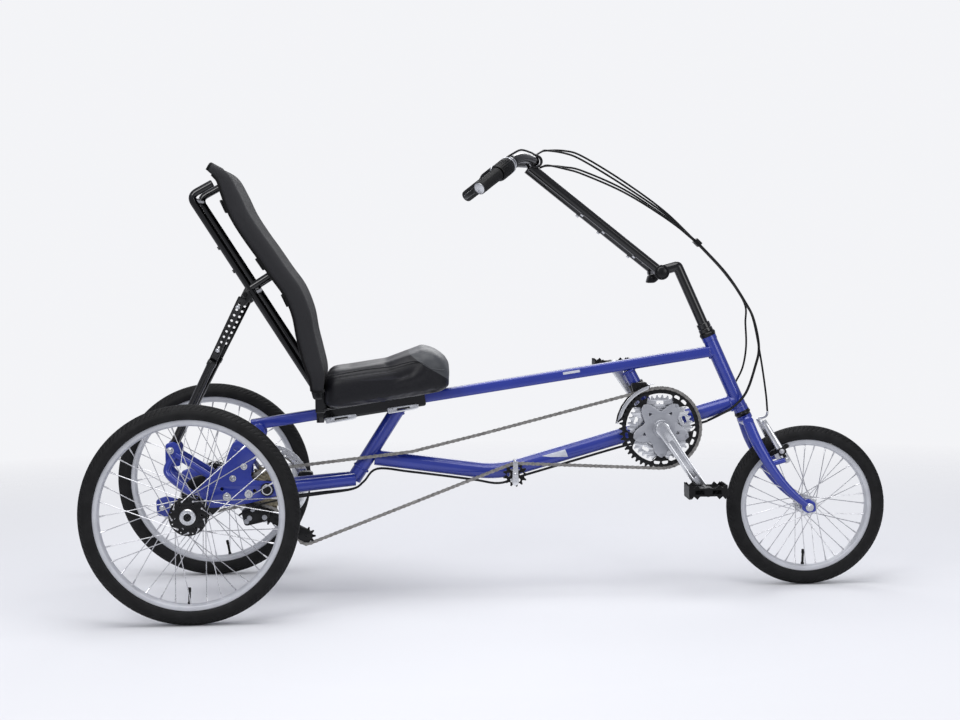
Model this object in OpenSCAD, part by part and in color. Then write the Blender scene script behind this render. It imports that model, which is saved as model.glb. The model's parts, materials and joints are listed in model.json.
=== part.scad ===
// Recumbent delta trike: one small front wheel, two larger rear wheels, a long low frame,
// a reclined sling seat and a tall tilted handlebar mast.
// X points forward, Y to the rider's left and Z up; the origin is on the ground at mid-length.

/* [Layout] */
// Distance between the front and rear axles
wheelbase = 1463; // [1455:1:1475]
// Distance between the centre planes of the rear tyres
track = 701; // [690:1:720]
// Outside diameter of the rear tyres
rear_od = 495; // [490:1:500]
// Outside diameter of the front tyre
front_od = 388.7; // [385:0.1:392]
// Width of the tyres
tyre_w = 44; // [40:1:48]

/* [Steering] */
// Angle of the steering axis from the vertical
head_tilt = 23.5; // [22:0.5:25]
// Height of the head tube's lower end above the ground
head_low_z = 428; // [424:1:432]
// Length of the head tube
head_len = 200; // [190:1:205]
// Outside diameter of the head tube
head_d = 34; // [32:1:38]
// Gap between the two tubes of the mast, centre to centre
mast_gap = 112; // [100:1:116]
// Width of the handlebar over the grips
bar_w = 620; // [600:5:640]

/* [Frame] */
// Outside diameter of the lower main tube
lower_d = 38; // [34:1:40]
// Height of the rectangular top tube's section
top_h = 26; // [24:1:30]
// Width of the rectangular top tube's section
top_w = 32; // [30:1:33]
// Diameter of the seat stay
stay_d = 36; // [32:1:38]
// Thickness of the drive plates
plate_t = 6; // [5:1:8]
// Distance from the centre plane to the middle of each drive plate
plate_y = 45; // [42:1:50]

/* [Seat] */
// Width of the sling seat back
back_w = 400; // [360:5:420]
// Width of the seat cushion
cushion_w = 320; // [280:5:340]
// Diameter of the seat-back tubes
rail_d = 18; // [16:1:22]

/* [Drive] */
// Length of a crank arm, centre to centre
crank_len = 170; // [165:2.5:175]
// Pitch radius of the largest chainring
ring_r = 97; // [90:1:100]
// Depth of the chain band
chain_h = 9; // [8:0.5:10]
// Width of the chain over its pins
chain_w = 7; // [6:0.5:8]

/* [Wheels] */
// Number of spokes in each wheel
spokes = 36; // [28:4:40]
// Diameter of a spoke
spoke_d = 2; // [1.8:0.1:2.4]

/* [Hidden] */
$fn = 48;

// Axles and the steering axis
front_r = front_od / 2;
rear_r = rear_od / 2;
overall_l = wheelbase + front_r + rear_r;
rear_x = -overall_l / 2 + rear_r;
front_x = overall_l / 2 - front_r;
rear_axle = [rear_x, 0, rear_r];
front_axle = [front_x, 0, front_r];
steer_dir = [-sin(head_tilt), 0, cos(head_tilt)];
head_low = [603, 0, head_low_z];
head_top = head_low + head_len * steer_dir;

// Joints of the frame's centre line
top_tube_front = [534, 0, 575];
top_tube_rear = [-585, 0, 416];
bracket = [397, 0, 394];
lower_front = [586, 0, 449];
lower_bend = [8, 0, 289];
lower_rear = [-290, 0, 332];
stay_top = [-230, 0, 452];
stay_low = [-342, 0, 280];
jackshaft = [-548, 0, 265];
loop_pin = [-776, 0, 362];

// Sections shared by several parts
stay_y = 42;
stay_r = 15;
housing_in = 8;
housing_r = 19;
hub_inner_y = track / 2 - 36;
hub_outer_y = track / 2 + 44;
housing_end = hub_inner_y - 6;
mast_low = [402, 0, 768];
mast_top = [95, 0, 1020];
mast_r = 11;
riser_r = 12.7;
grip_len = 84;
joint_gap = 0.3;
pin_r = 5;
sprocket_gap = 34;
root_gap = chain_h / 2 + 1;

module rod(a, b, r) {
    d = b - a;
    translate(a)
        rotate([0, acos(d[2] / norm(d)), atan2(d[1], d[0])])
            cylinder(h = norm(d), r = r);
}

// A tube that runs through a list of points, with elbows a hair fatter than the tube
elbow = 0.15;
module bent_tube(path, r) {
    for (i = [0 : len(path) - 2]) rod(path[i], path[i + 1], r);
    if (len(path) > 2)
        for (i = [1 : len(path) - 2]) translate(path[i]) sphere(r = r + elbow);
}

// A disc or boss that lies across the frame, from y0 to y1
module cross_disc(p, r, y0, y1) {
    translate([p[0], y1, p[2]]) rotate([90, 0, 0]) cylinder(h = y1 - y0, r = r);
}

// A flat plate in the side plane, from y0 to y1
module side_plate(outline, y0, y1) {
    translate([0, y1, 0]) rotate([90, 0, 0]) linear_extrude(height = y1 - y0) polygon(outline);
}

module mirror_left_right() {
    children();
    mirror([0, 1, 0]) children();
}

// Cable: a sweep of an eight-sided ring along a smooth curve through hand-picked points
function curve_point(p, i, t) =
    let (a = p[max(i - 1, 0)], b = p[i], c = p[i + 1], d = p[min(i + 2, len(p) - 1)])
    0.5 * (2 * b + (c - a) * t + (2 * a - 5 * b + 4 * c - d) * t * t
        + (3 * b - a - 3 * c + d) * t * t * t);
function curve_points(p, n) = concat(
    [for (i = [0 : len(p) - 2]) for (k = [0 : n - 1]) curve_point(p, i, k / n)],
    [p[len(p) - 1]]);
function unit(v) = v / norm(v);
function tangent(q, i) = unit(q[min(i + 1, len(q) - 1)] - q[max(i - 1, 0)]);
cable_sides = 8;
module cable(path, d, steps = 4) {
    q = curve_points(path, steps);
    n = len(q);
    side = [0, 1, 0.02];
    rings = [for (i = [0 : n - 1])
        let (t = tangent(q, i), u = unit(cross(t, side)), v = cross(t, u))
        for (k = [0 : cable_sides - 1])
            q[i] + d / 2 * (cos(k * 360 / cable_sides) * u + sin(k * 360 / cable_sides) * v)];
    walls = [for (i = [0 : n - 2]) for (k = [0 : cable_sides - 1])
        let (m = (k + 1) % cable_sides)
        [i * cable_sides + k, (i + 1) * cable_sides + k, (i + 1) * cable_sides + m, i * cable_sides + m]];
    first_cap = [for (k = [0 : cable_sides - 1]) k];
    last_cap = [for (k = [cable_sides - 1 : -1 : 0]) (n - 1) * cable_sides + k];
    polyhedron(points = rings, faces = concat(walls, [first_cap], [last_cap]), convexity = 4);
}

// ---- Frame ----

module head_tube() {
    color("royalblue")
        difference() {
            rod(head_low, head_top, head_d / 2);
            rod(head_low - 5 * steer_dir, head_top + 5 * steer_dir, head_d / 2 - 2.5);
        }
}

// Bearing cups at both ends of the head tube
cup_h = 11;
cup_r = 20;
module headset() {
    color([0.12, 0.12, 0.13])
        difference() {
            union() {
                rod(head_top, head_top + cup_h * steer_dir, cup_r);
                rod(head_low - cup_h * steer_dir, head_low, cup_r);
            }
            rod(head_low - 30 * steer_dir, head_top + 30 * steer_dir, riser_r + 0.05);
        }
}

module top_tube() {
    d = top_tube_front - top_tube_rear;
    color("royalblue")
        difference() {
            translate(top_tube_rear)
                rotate([0, -atan2(d[2], d[0]), 0])
                    translate([0, -top_w / 2, -top_h / 2])
                        cube([norm(d), top_w, top_h]);
            rod(head_low, head_top, head_d / 2);
        }
}

module lower_tube() {
    color("royalblue")
        difference() {
            bent_tube([lower_front, lower_bend, lower_rear], lower_d / 2);
            rod(head_low, head_top, head_d / 2);
            cross_disc(bracket, bracket_r, -bracket_half, bracket_half);
            rod(stay_top, stay_low, stay_d / 2 + joint_gap);
        }
}

module seat_stay() {
    color("royalblue")
        difference() {
            rod(stay_top + [6, 0, 9], stay_low, stay_d / 2);
            top_tube_space();
        }
}

module top_tube_space() {
    d = top_tube_front - top_tube_rear;
    translate(top_tube_rear)
        rotate([0, -atan2(d[2], d[0]), 0])
            translate([0, -top_w, -top_h / 2])
                cube([norm(d), 2 * top_w, 4 * top_h]);
}

// Bottom bracket shell with the strut that braces it to the top tube
bracket_r = 21;
bracket_half = 34;
strut_top = [327, 0, 532];
module bottom_bracket() {
    color("royalblue") {
        difference() {
            cross_disc(bracket, bracket_r, -bracket_half, bracket_half);
            cross_disc(bracket, 9, -bracket_half - 1, bracket_half + 1);
        }
        difference() {
            rod(strut_top, bracket, 15);
            cross_disc(bracket, bracket_r, -bracket_half, bracket_half);
            top_tube_space();
            bent_tube([lower_front, lower_bend, lower_rear], lower_d / 2);
        }
    }
}

// Two straight stays that run back from the foot of the seat stay to the drive plates
stay_root = [-338, 27, 282];
stay_end = [-515, stay_y, 267];
module rear_stays() {
    color("royalblue")
        mirror_left_right()
            difference() {
                rod(stay_root, stay_end, stay_r);
                rod(stay_top, stay_low - 20 * unit(stay_top - stay_low), stay_d / 2 + joint_gap);
            }
}

plate_outline = [
    [-626, 382], [-606, 384], [-578, 420], [-558, 424], [-548, 396], [-572, 338], [-585, 322],
    [-585, 288], [-562, 286], [-516, 282], [-516, 251], [-560, 240], [-592, 232], [-677, 223],
    [-700, 226], [-728, 238], [-734, 262], [-705, 272], [-693, 296], [-648, 322], [-640, 350]
];
bearing_r = 24;
module plate_body() {
    side_plate(plate_outline, plate_y - plate_t / 2, plate_y + plate_t / 2);
}
module drive_plates() {
    holes = [[-622, 0, 364], [-604, 0, 366]];
    color("royalblue")
        mirror_left_right()
            difference() {
                union() {
                    plate_body();
                    cross_disc(rear_axle, bearing_r + 4, plate_y - plate_t / 2, plate_y + plate_t / 2);
                }
                for (h = holes) cross_disc(h, 4, plate_y - plate_t, plate_y + plate_t);
                cross_disc(rear_axle, housing_r, plate_y - plate_t, plate_y + plate_t);
                cross_disc(jackshaft, 8, plate_y - plate_t, plate_y + plate_t);
            }
}

// Bent tubes behind the axle that carry the bracket of the recline struts
cheek_y = 36;
cheek_t = 6;
cheek_outline = [[-788, 324], [-752, 324], [-752, 370], [-766, 384], [-788, 378]];
module rear_loop() {
    color("royalblue")
        difference() {
            union() {
                mirror_left_right() {
                    side_plate(cheek_outline, cheek_y, cheek_y + cheek_t);
                    bent_tube([
                        [-768, cheek_y + 5, 348],
                        [-788, 43, 316],
                        [-777, 50, 298],
                        [-722, 62, 256]
                    ], 9);
                    rod([-764, cheek_y + 6, 352], [-684, plate_y + 2, 300], 8);
                }
                translate([-788, -cheek_y - 2, 326]) cube([5, 2 * cheek_y + 4, 18]);
            }
            cross_disc(loop_pin, pin_r, -60, 60);
            cross_disc(rear_axle, housing_r + 1, -90, 90);
            mirror_left_right() plate_body();
        }
}

// Tubes that hold the two stub axles, with a lug behind each outer end
lug_outline = [[-746, 236], [-782, 240], [-784, 276], [-762, 284], [-700, 268], [-700, 228]];
lug_t = 8;
lug_hole = [-770, 0, 258];
lug_hole_r = 3.3;
module axle_housing() {
    color("royalblue")
        difference() {
            union() {
                cross_disc(rear_axle, housing_r, -housing_end, -sprocket_gap);
                cross_disc(rear_axle, housing_r, sprocket_gap, housing_end);
                mirror_left_right() side_plate(lug_outline, housing_end - 22, housing_end - 22 + lug_t);
            }
            cross_disc(rear_axle, housing_in, -housing_end - 1, housing_end + 1);
            cross_disc(lug_hole, lug_hole_r, -housing_end - 1, housing_end + 1);
        }
}

// Drive sprocket and drum between the two axle housings
module axle_sprocket() {
    color([0.1, 0.1, 0.11]) {
        cross_disc(rear_axle, 50, -22, 4);
        cross_disc(rear_axle, 22, -sprocket_gap + 0.5, sprocket_gap - 0.5);
        cross_disc(rear_axle, axle_sprocket_r - root_gap, rear_chain_y - 1.5, rear_chain_y + 1.5);
    }
}

// Cassette on the jackshaft between the plates
cassette_radii = [54, 49, 38, 35, 32, 28, 25];
cassette_y = -41;
sprocket_pitch = 5.4;
module cassette() {
    color([0.55, 0.5, 0.38]) {
        cross_disc(jackshaft, 8 - 0.2, -plate_y - 14, plate_y + 40);
        cross_disc(jackshaft, 16, -plate_y - 9, -plate_y - plate_t / 2 - 1);
        cross_disc(jackshaft, 20, cassette_y, rear_chain_y + 8);
        cross_disc(jackshaft, small_sprocket_r - root_gap, rear_chain_y - 1.5, rear_chain_y + 1.5);
        for (i = [0 : len(cassette_radii) - 1])
            cross_disc(jackshaft, cassette_radii[i],
                cassette_y + (6 - i) * sprocket_pitch, cassette_y + (6 - i) * sprocket_pitch + 2);
    }
}

// Brake disc on the left end of the jackshaft, with its calliper
disc_y = 68;
disc_r = 96;
module brake_disc() {
    color([0.75, 0.76, 0.78]) {
        difference() {
            cross_disc(jackshaft, disc_r, disc_y, disc_y + 2);
            cross_disc(jackshaft, disc_r - 24, disc_y - 1, disc_y + 3);
        }
        difference() {
            union() {
                for (a = [0 : 60 : 300])
                    translate([jackshaft[0], disc_y + 1, jackshaft[2]]) rotate([0, a, 0])
                        translate([0, -1, -7]) cube([disc_r - 22, 2, 14]);
                cross_disc(jackshaft, 26, disc_y - 6, disc_y + 6);
            }
            cross_disc(jackshaft, 8 - 0.2, disc_y - 10, disc_y + 10);
        }
        translate([-478, disc_y - 9, 264]) cube([36, 26, 30]);
    }
}

// ---- Drive ----

// Every disc that a chain runs on: [x, z, y, pitch radius, side].
// Side is 1 where the chain turns anticlockwise seen from the right, -1 where it turns
// clockwise, and a pitch radius of 0 is a place where a slack run bends under its own weight.
chain_y = -52;
cassette_chain_y = -18.4;
rear_chain_y = 12;
cassette_pitch = 44;
pulley_r = 20;
idler_r = 27;
idler = [45, 0, 289];
upper_pulley = [-543, 0, 198];
lower_pulley = [-458, 0, 147];
small_sprocket_r = 33;
axle_sprocket_r = 45;
main_loop = [
    [bracket[0], bracket[2], chain_y, ring_r, 1],
    [-36, 386, -38, 0, 1],
    [-201, 347, -32, 0, 1],
    [jackshaft[0], jackshaft[2], cassette_chain_y, cassette_pitch, 1],
    [upper_pulley[0], upper_pulley[2], cassette_chain_y, pulley_r, -1],
    [lower_pulley[0], lower_pulley[2], cassette_chain_y, pulley_r, 1],
    [idler[0], idler[2], chain_y, idler_r, -1]
];
rear_loop_discs = [
    [jackshaft[0], jackshaft[2], rear_chain_y, small_sprocket_r, 1],
    [rear_axle[0], rear_axle[2], rear_chain_y, axle_sprocket_r, 1]
];

// Direction of the left-hand normal of the straight run between two discs
function run_normal(a, b) =
    let (dx = b[0] - a[0], dz = b[1] - a[1], reach = sqrt(dx * dx + dz * dz))
    atan2(dz, dx) + acos((b[4] * b[3] - a[4] * a[3]) / reach);
function touch(a, n) = [a[0] - a[4] * a[3] * cos(n), a[2], a[1] - a[4] * a[3] * sin(n)];
function wrapped(v) = v - 360 * floor(v / 360);

module chain_bar(p, q) {
    d = q - p;
    translate(p)
        rotate([0, -asin(d[2] / norm(d)), atan2(d[1], d[0])])
            translate([0, -chain_w / 2, -chain_h / 2])
                cube([norm(d), chain_w, chain_h]);
}

// The part of a chain that lies on a disc, between the normals of its two straight runs
module chain_wrap(disc, n_in, n_out) {
    turn = disc[4] > 0 ? 180 : 0;
    from = disc[4] > 0 ? n_in + turn : n_out + turn;
    sweep = disc[4] > 0 ? wrapped(n_out - n_in) : wrapped(n_in - n_out);
    if (disc[3] > 0 && sweep > 0.5)
        translate([disc[0], disc[2], disc[1]])
            rotate([90, 0, 0])
                rotate([0, 0, from])
                    rotate_extrude(angle = sweep)
                        translate([disc[3] - chain_h / 2, -chain_w / 2])
                            square([chain_h, chain_w]);
}

module chain_loop(discs) {
    n = len(discs);
    normals = [for (i = [0 : n - 1]) run_normal(discs[i], discs[(i + 1) % n])];
    for (i = [0 : n - 1]) {
        next = (i + 1) % n;
        chain_bar(touch(discs[i], normals[i]), touch(discs[next], normals[i]));
        chain_wrap(discs[next], normals[i], normals[next]);
    }
}

module drive_chain() {
    color([0.45, 0.42, 0.38]) chain_loop(main_loop);
}

module rear_chain() {
    color([0.4, 0.38, 0.35]) chain_loop(rear_loop_discs);
}

module chain_idler() {
    color([0.12, 0.12, 0.13]) {
        cross_disc(idler, idler_r - chain_h / 2 - 0.5, chain_y - 5, chain_y + 5);
        cross_disc(idler, 5, chain_y - 12, -lower_d / 2 - 3);
    }
    color("silver")
        side_plate([[33, 262], [57, 262], [57, 300], [33, 300]],
            -lower_d / 2 - 8, -lower_d / 2 - 3);
}

// Derailleur under the cassette: a body, a long cage and two small pulleys
module rear_derailleur() {
    cage_in = cassette_chain_y + 7;
    cage_out = cassette_chain_y - 7;
    color([0.1, 0.1, 0.11]) {
        for (p = [upper_pulley, lower_pulley])
            cross_disc(p, pulley_r - chain_h / 2 - 0.5, cassette_chain_y - 3, cassette_chain_y + 3);
        for (y = [cage_in, cage_out - 2.5]) {
            side_plate([[-552, 190], [-534, 206], [-446, 158], [-450, 136], [-468, 136]], y, y + 2.5);
        }
        for (p = [upper_pulley, lower_pulley]) cross_disc(p, 4, cage_out - 2, cage_in + 2);
        side_plate([[-612, 214], [-566, 226], [-540, 208], [-548, 188], [-604, 176]],
            cage_out - 17, cage_out - 0.5);
    }
}

// Changer for the chainrings: a clamp on the brace, an arm and a cage around the chain
module front_derailleur() {
    color([0.14, 0.14, 0.15])
        difference() {
            rod([344, 0, 494], [352, 0, 474], 20);
            rod(strut_top, bracket, 15.2);
        }
    color("silver") {
        side_plate([[330, 504], [368, 504], [366, 484], [334, 478]], -46, -21);
        for (y = [chain_y + 8, chain_y - 11])
            side_plate([[368, 508], [306, 474], [298, 420], [312, 424], [330, 468], [368, 494]], y, y + 2.5);
        side_plate([[368, 508], [330, 490], [330, 504], [364, 512]], chain_y - 11, -44);
    }
}

// ---- Seat ----

tube_slope = atan2(top_tube_front[2] - top_tube_rear[2], top_tube_front[0] - top_tube_rear[0]);
function on_tube(x, lift) =
    [x, 0, top_tube_rear[2] + (x - top_tube_rear[0]) * tan(tube_slope) + lift];
module along_tube(x, lift) {
    translate(on_tube(x, lift)) rotate([0, -tube_slope, 0]) children();
}
base_x0 = -412;
base_l = 246;
pan_w = 220;
pan_t = 4;
saddle_t = 5;
saddle_gap = 2.5;
module seat_base() {
    half = top_w / 2 + saddle_gap;
    color([0.07, 0.07, 0.08])
        difference() {
            union() {
                along_tube(base_x0, top_h / 2 + 1)
                    translate([0, -pan_w / 2, 0]) cube([base_l, pan_w, pan_t]);
                along_tube(base_x0, -top_h / 2 - 6) {
                    translate([0, half, 0]) cube([base_l, saddle_t, top_h + 8]);
                    translate([0, -half - saddle_t, 0]) cube([base_l, saddle_t, top_h + 8]);
                }
                mirror_left_right()
                    translate([base_x0 - 16, 96, 452]) cube([24, 6, 50]);
                translate([base_x0 - 16, -102, 450]) cube([24, 204, 6]);
                translate([base_x0 - 16, -28, 420]) cube([18, 56, 33]);
            }
            along_tube(base_x0 - base_l / 2, -top_h / 2 - 20)
                translate([0, -half, 0]) cube([2 * base_l, 2 * half, top_h + 21]);
        }
}

cushion_outline = [
    [-402, 462], [-404, 540], [-394, 558], [-342, 568], [-259, 584], [-199, 603], [-163, 607],
    [-142, 600], [-122, 574], [-112, 530], [-118, 510], [-168, 495]
];
module seat_cushion() {
    color([0.1, 0.1, 0.11])
        side_plate(cushion_outline, -cushion_w / 2, cushion_w / 2);
}

module seat_levers() {
    color("silver")
        mirror_left_right()
            for (x = [-395, -245])
                along_tube(x, -top_h / 2 - 2) {
                    translate([0, 24, -6]) cube([70, 6, 9]);
                    translate([58, 30, -4]) cube([14, 6, 8]);
                }
}

rail_y = 125;
rail_low = [-428, 0, 512];
rail_high = [-709, 0, 963];
back_front = [
    [-414, 520], [-405, 560], [-425, 640], [-434, 692], [-455, 747], [-487, 794], [-545, 880],
    [-572, 924], [-600, 992], [-620, 1016], [-657, 1040]
];
back_rear = [
    [-668, 1030], [-637, 956], [-600, 890], [-565, 828], [-530, 776], [-496, 730], [-481, 698],
    [-461, 640], [-447, 560], [-440, 520]
];
module seat_back_mesh() {
    color([0.13, 0.13, 0.14])
        difference() {
            side_plate(concat(back_front, back_rear), -back_w / 2, back_w / 2);
            mirror_left_right() {
                rail_tubes(rail_d / 2 + 0.5);
            }
        }
}

module rail_tubes(r) {
    side = [0, rail_y, 0];
    bent_tube([rail_low + side, rail_high + side, [-655, rail_y, 992]], r);
    rod([-574, rail_y, 747], [-524, rail_y, 778], r);
}

// One seat-back rail with the lug for the recline strut and two bosses for a bottle cage
strut_lug = [[-604, 712], [-588, 704], [-556, 736], [-580, 758]];
rail_dir = unit(rail_high - rail_low);
rail_back = [-rail_dir[2], 0, rail_dir[0]];
boss_mid = rail_low + 0.68 * (rail_high - rail_low) + [0, rail_y, 0];
boss_pitch = 64;
boss_h = rail_d / 2 + 3;
boss_bore_r = 2.1;
module seat_rail() {
    difference() {
        union() {
            rail_tubes(rail_d / 2);
            side_plate(strut_lug, rail_y + 2, rail_y + 7);
            for (s = [-1, 1])
                rod(boss_mid + s * boss_pitch / 2 * rail_dir,
                    boss_mid + s * boss_pitch / 2 * rail_dir + boss_h * rail_back, 4.5);
        }
        for (s = [-1, 1])
            rod(boss_mid + s * boss_pitch / 2 * rail_dir + 2 * rail_back,
                boss_mid + s * boss_pitch / 2 * rail_dir + 2 * boss_h * rail_back, boss_bore_r);
    }
}
module seat_rail_left() {
    color([0.08, 0.08, 0.09]) seat_rail();
}
module seat_rail_right() {
    color([0.08, 0.08, 0.09]) mirror([0, 1, 0]) seat_rail();
}

// Tubes across the back that join the two rails, with the hinge tube at the foot
module seat_cross_tubes() {
    color([0.08, 0.08, 0.09]) {
        for (p = [rail_high + [6, 0, -10], [-567, 0, 736]])
            cross_disc(p, 8, -rail_y + rail_d / 2, rail_y - rail_d / 2);
        difference() {
            cross_disc([-421, 0, 490], 9, -93, 93);
            mirror_left_right() rail_tubes(rail_d / 2);
        }
        mirror_left_right()
            difference() {
                side_plate([[-432, 482], [-410, 482], [-412, 514], [-440, 516]], 104, 112);
                rail_tubes(rail_d / 2);
            }
    }
}

strut_high = [-592, 148, 722];
strut_low = [-776, 16, 362];
strut_split = 0.36;
strut_hole_r = 3;
module strut() {
    d = strut_low - strut_high;
    middle = strut_high + strut_split * d;
    turn = [0, acos(d[2] / norm(d)), atan2(d[1], d[0])];
    length = norm(d);
    difference() {
        union() {
            translate(strut_high)
                rotate(turn) translate([-9, -6, 0]) cube([18, 12, length * 0.42]);
            rod(middle, strut_low, 10);
            cross_disc(strut_low, 12, strut_low[1] - 11, strut_low[1] + 8);
        }
        translate(strut_high)
            rotate(turn)
                for (k = [0 : 8])
                    translate([0, 0, 14 + 15 * k])
                        rotate([90, 0, 0])
                            cylinder(h = 40, r = strut_hole_r, center = true);
        cross_disc(strut_low, pin_r, -60, 60);
    }
}
module recline_strut_left() {
    color([0.08, 0.08, 0.09]) strut();
}
module recline_strut_right() {
    color([0.08, 0.08, 0.09]) mirror([0, 1, 0]) strut();
}

// ---- Steering ----

blade_y = 50;
steerer_r = riser_r;
crown = head_low - (cup_h + 12) * steer_dir;
module fork() {
    color("royalblue") {
        rod(crown, head_top + (cup_h + 4) * steer_dir, steerer_r);
        rod(crown, head_low - (cup_h + 1) * steer_dir, 19);
        mirror_left_right() {
            rod(crown, crown + [0, 40, -4], 13);
            bent_tube([
                crown + [0, 40, -4],
                [630, 45, 356],
                [657, 48, 306],
                [686, blade_y, 262]
            ], 11);
            bent_tube([[686, blade_y, 262], [718, blade_y, 227], [748, blade_y, 201.5]], 9);
            difference() {
                side_plate([[738, 190], [752, 212], [770, 206], [772, 182], [750, 180]],
                    blade_y - 3, blade_y + 3);
                cross_disc(front_axle, axle_r + 0.05, 0, 100);
            }
        }
    }
}
axle_r = 5;

riser_top = [449, 0, 782];
module stem_riser() {
    color([0.08, 0.08, 0.09])
        difference() {
            union() {
                bent_tube([head_top + (cup_h + 4) * steer_dir, riser_top, mast_low + [8, 0, 4]], 12.7);
                rod(head_top + (cup_h + 4) * steer_dir, head_top + (cup_h + 30) * steer_dir, 17);
            }
            cross_disc(mast_low, 15, -100, 100);
        }
}

module stem_clamp() {
    color([0.1, 0.1, 0.11]) {
        cross_disc(mast_low, 15, -mast_gap / 2 - 14, mast_gap / 2 + 14);
        difference() {
            side_plate([[372, 742], [392, 742], [408, 756], [396, 764], [378, 762]], -14, 14);
            cross_disc(mast_low, 15, -100, 100);
        }
    }
}

module mast() {
    up = unit(mast_top - mast_low);
    color([0.08, 0.08, 0.09])
        mirror_left_right()
            difference() {
                rod(mast_low + [0, mast_gap / 2, 0], mast_top + [0, mast_gap / 2, 0], mast_r);
                cross_disc(mast_low, 15, -100, 100);
                cross_disc(bar_mid, clamp_r, -100, 100);
            }
}

bar_r = 11.1;
clamp_r = 16;
bar_mid = [104, 0, 1034];
grip_out = [-44, bar_w / 2 - 4, 966];
bar_bend = [58, 162, 1044];
grip_dir = unit(bar_bend - grip_out);
module handlebar() {
    color([0.08, 0.08, 0.09])
        difference() {
            mirror_left_right() {
                bent_tube([bar_mid, bar_mid + [0, 70, 2], bar_bend, grip_out + 4 * grip_dir], bar_r);
                cross_disc(bar_mid, clamp_r, mast_gap / 2 - 16, mast_gap / 2 + 16);
            }
        }
}

module grip_solid() {
    difference() {
        rod(grip_out, grip_out + grip_len * grip_dir, 16);
        rod(grip_out - grip_dir, grip_out + 200 * grip_dir, bar_r);
    }
}
module grip_left() {
    color([0.06, 0.06, 0.06]) grip_solid();
}
module grip_right() {
    color([0.06, 0.06, 0.06]) mirror([0, 1, 0]) grip_solid();
}

shifter_len = 54;
module shifters() {
    start = grip_out + (grip_len + 1) * grip_dir;
    color([0.12, 0.12, 0.13])
        mirror_left_right()
            difference() {
                rod(start, start + shifter_len * grip_dir, 21);
                rod(start - grip_dir, start + (shifter_len + 1) * grip_dir, bar_r);
            }
}

// Brake levers clamp inboard of the shifters; each blade runs beside its grip, on the inner side
lever_side = unit([0, -1, 0] + grip_dir[1] * grip_dir);
lever_r = 5;
module brake_levers() {
    start = grip_out + (grip_len + shifter_len + 3) * grip_dir;
    color([0.1, 0.1, 0.11])
        mirror_left_right() {
            difference() {
                union() {
                    rod(start, start + 16 * grip_dir, 17);
                    rod(start + 8 * grip_dir, start + 6 * grip_dir + 34 * lever_side, 8);
                }
                rod(start - grip_dir, start + 60 * grip_dir, bar_r);
            }
            bent_tube([
                start + 6 * grip_dir + 34 * lever_side,
                start - 20 * grip_dir + 44 * lever_side,
                grip_out + 60 * grip_dir + 46 * lever_side,
                grip_out + 30 * grip_dir + 38 * lever_side
            ], lever_r);
        }
}

// Linear-pull brake: two arms on pivots ahead of the blades, pads beside the rim, and the
// bent guide and inner wire that pull the arm tops together
pad_turn = 26;
pad_ring_r = 153;
pad = front_axle + pad_ring_r * [-sin(pad_turn), 0, cos(pad_turn)];
brake_pivot = [703, 42, 311];
brake_top = [650, 34, 405];
module front_brake() {
    color("silver") {
        mirror_left_right() {
            rod(brake_pivot, brake_top, 6);
            cross_disc(brake_pivot, 8, 34, 50);
            rod([664, 48, 300], brake_pivot + [0, 4, 0], 6);
        }
        rod(brake_top - [0, 2 * brake_top[1], 0], brake_top, 2);
        rod([669, 12, 421], brake_top - [0, 6, 0], 3);
    }
    color([0.1, 0.1, 0.1])
        mirror_left_right() {
            rod(pad + [0, 38, 0], pad + [0, 20, 0], 4);
            translate(pad) rotate([0, -pad_turn, 0]) translate([-23, 16, -4.5]) cube([46, 8, 9]);
        }
}

// ---- Cables ----

// Four outer cables run from the levers and shifters in one bundle. They bend first with the
// tilting mast, down to the clip, and then with the steering, down to the frame.
top_run = [[134, 1064], [180, 1060], [223, 1044], [321, 983], [419, 912], [497, 839]];
side_run = [[138, 1028], [180, 1022], [222, 1011], [321, 966], [419, 902], [497, 839]];
lower_bundle = [[499, 837], [567, 762], [614, 690]];
lanes = [12, 4, -4, -12];
upper_starts = [[120, 24, 1024], [94, 40, 1064], [94, -40, 1064], [120, -24, 1024]];
upper_runs = [side_run, top_run, top_run, side_run];
cable_d = 5;
function lane(path, y) = [for (p = path) [p[0], y, p[1]]];
frame_tail = [[618, 20, 640], [620, 24, 583], [611, 24, 532], [592, 23, 494]];
under_tail = [[630, -24, 648], [641, -26, 583], [631, -27, 535], [609, -28, 475],
    [578, -26, 440], [545, -16, 420], [519, -4, 406]];
module upper_cables() {
    color([0.06, 0.06, 0.06])
        for (i = [0 : 3]) cable(concat([upper_starts[i]], lane(upper_runs[i], lanes[i])), cable_d, 3);
}
module control_cables() {
    color([0.06, 0.06, 0.06]) {
        cable(concat(lane(lower_bundle, lanes[0]), frame_tail), cable_d, 3);
        cable(concat(lane(lower_bundle, lanes[2]), under_tail), cable_d, 3);
        cable(concat(lane(lower_bundle, lanes[3]), [for (p = under_tail) p - [0, 8, 0]]), cable_d, 3);
    }
}
brake_tail = [[634, 5, 650], [652, 8, 560], [665, 10, 470], [669, 12, 424]];
module front_brake_cable() {
    color([0.06, 0.06, 0.06])
        cable(concat(lane(lower_bundle, lanes[1]), brake_tail), cable_d, 3);
}

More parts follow.
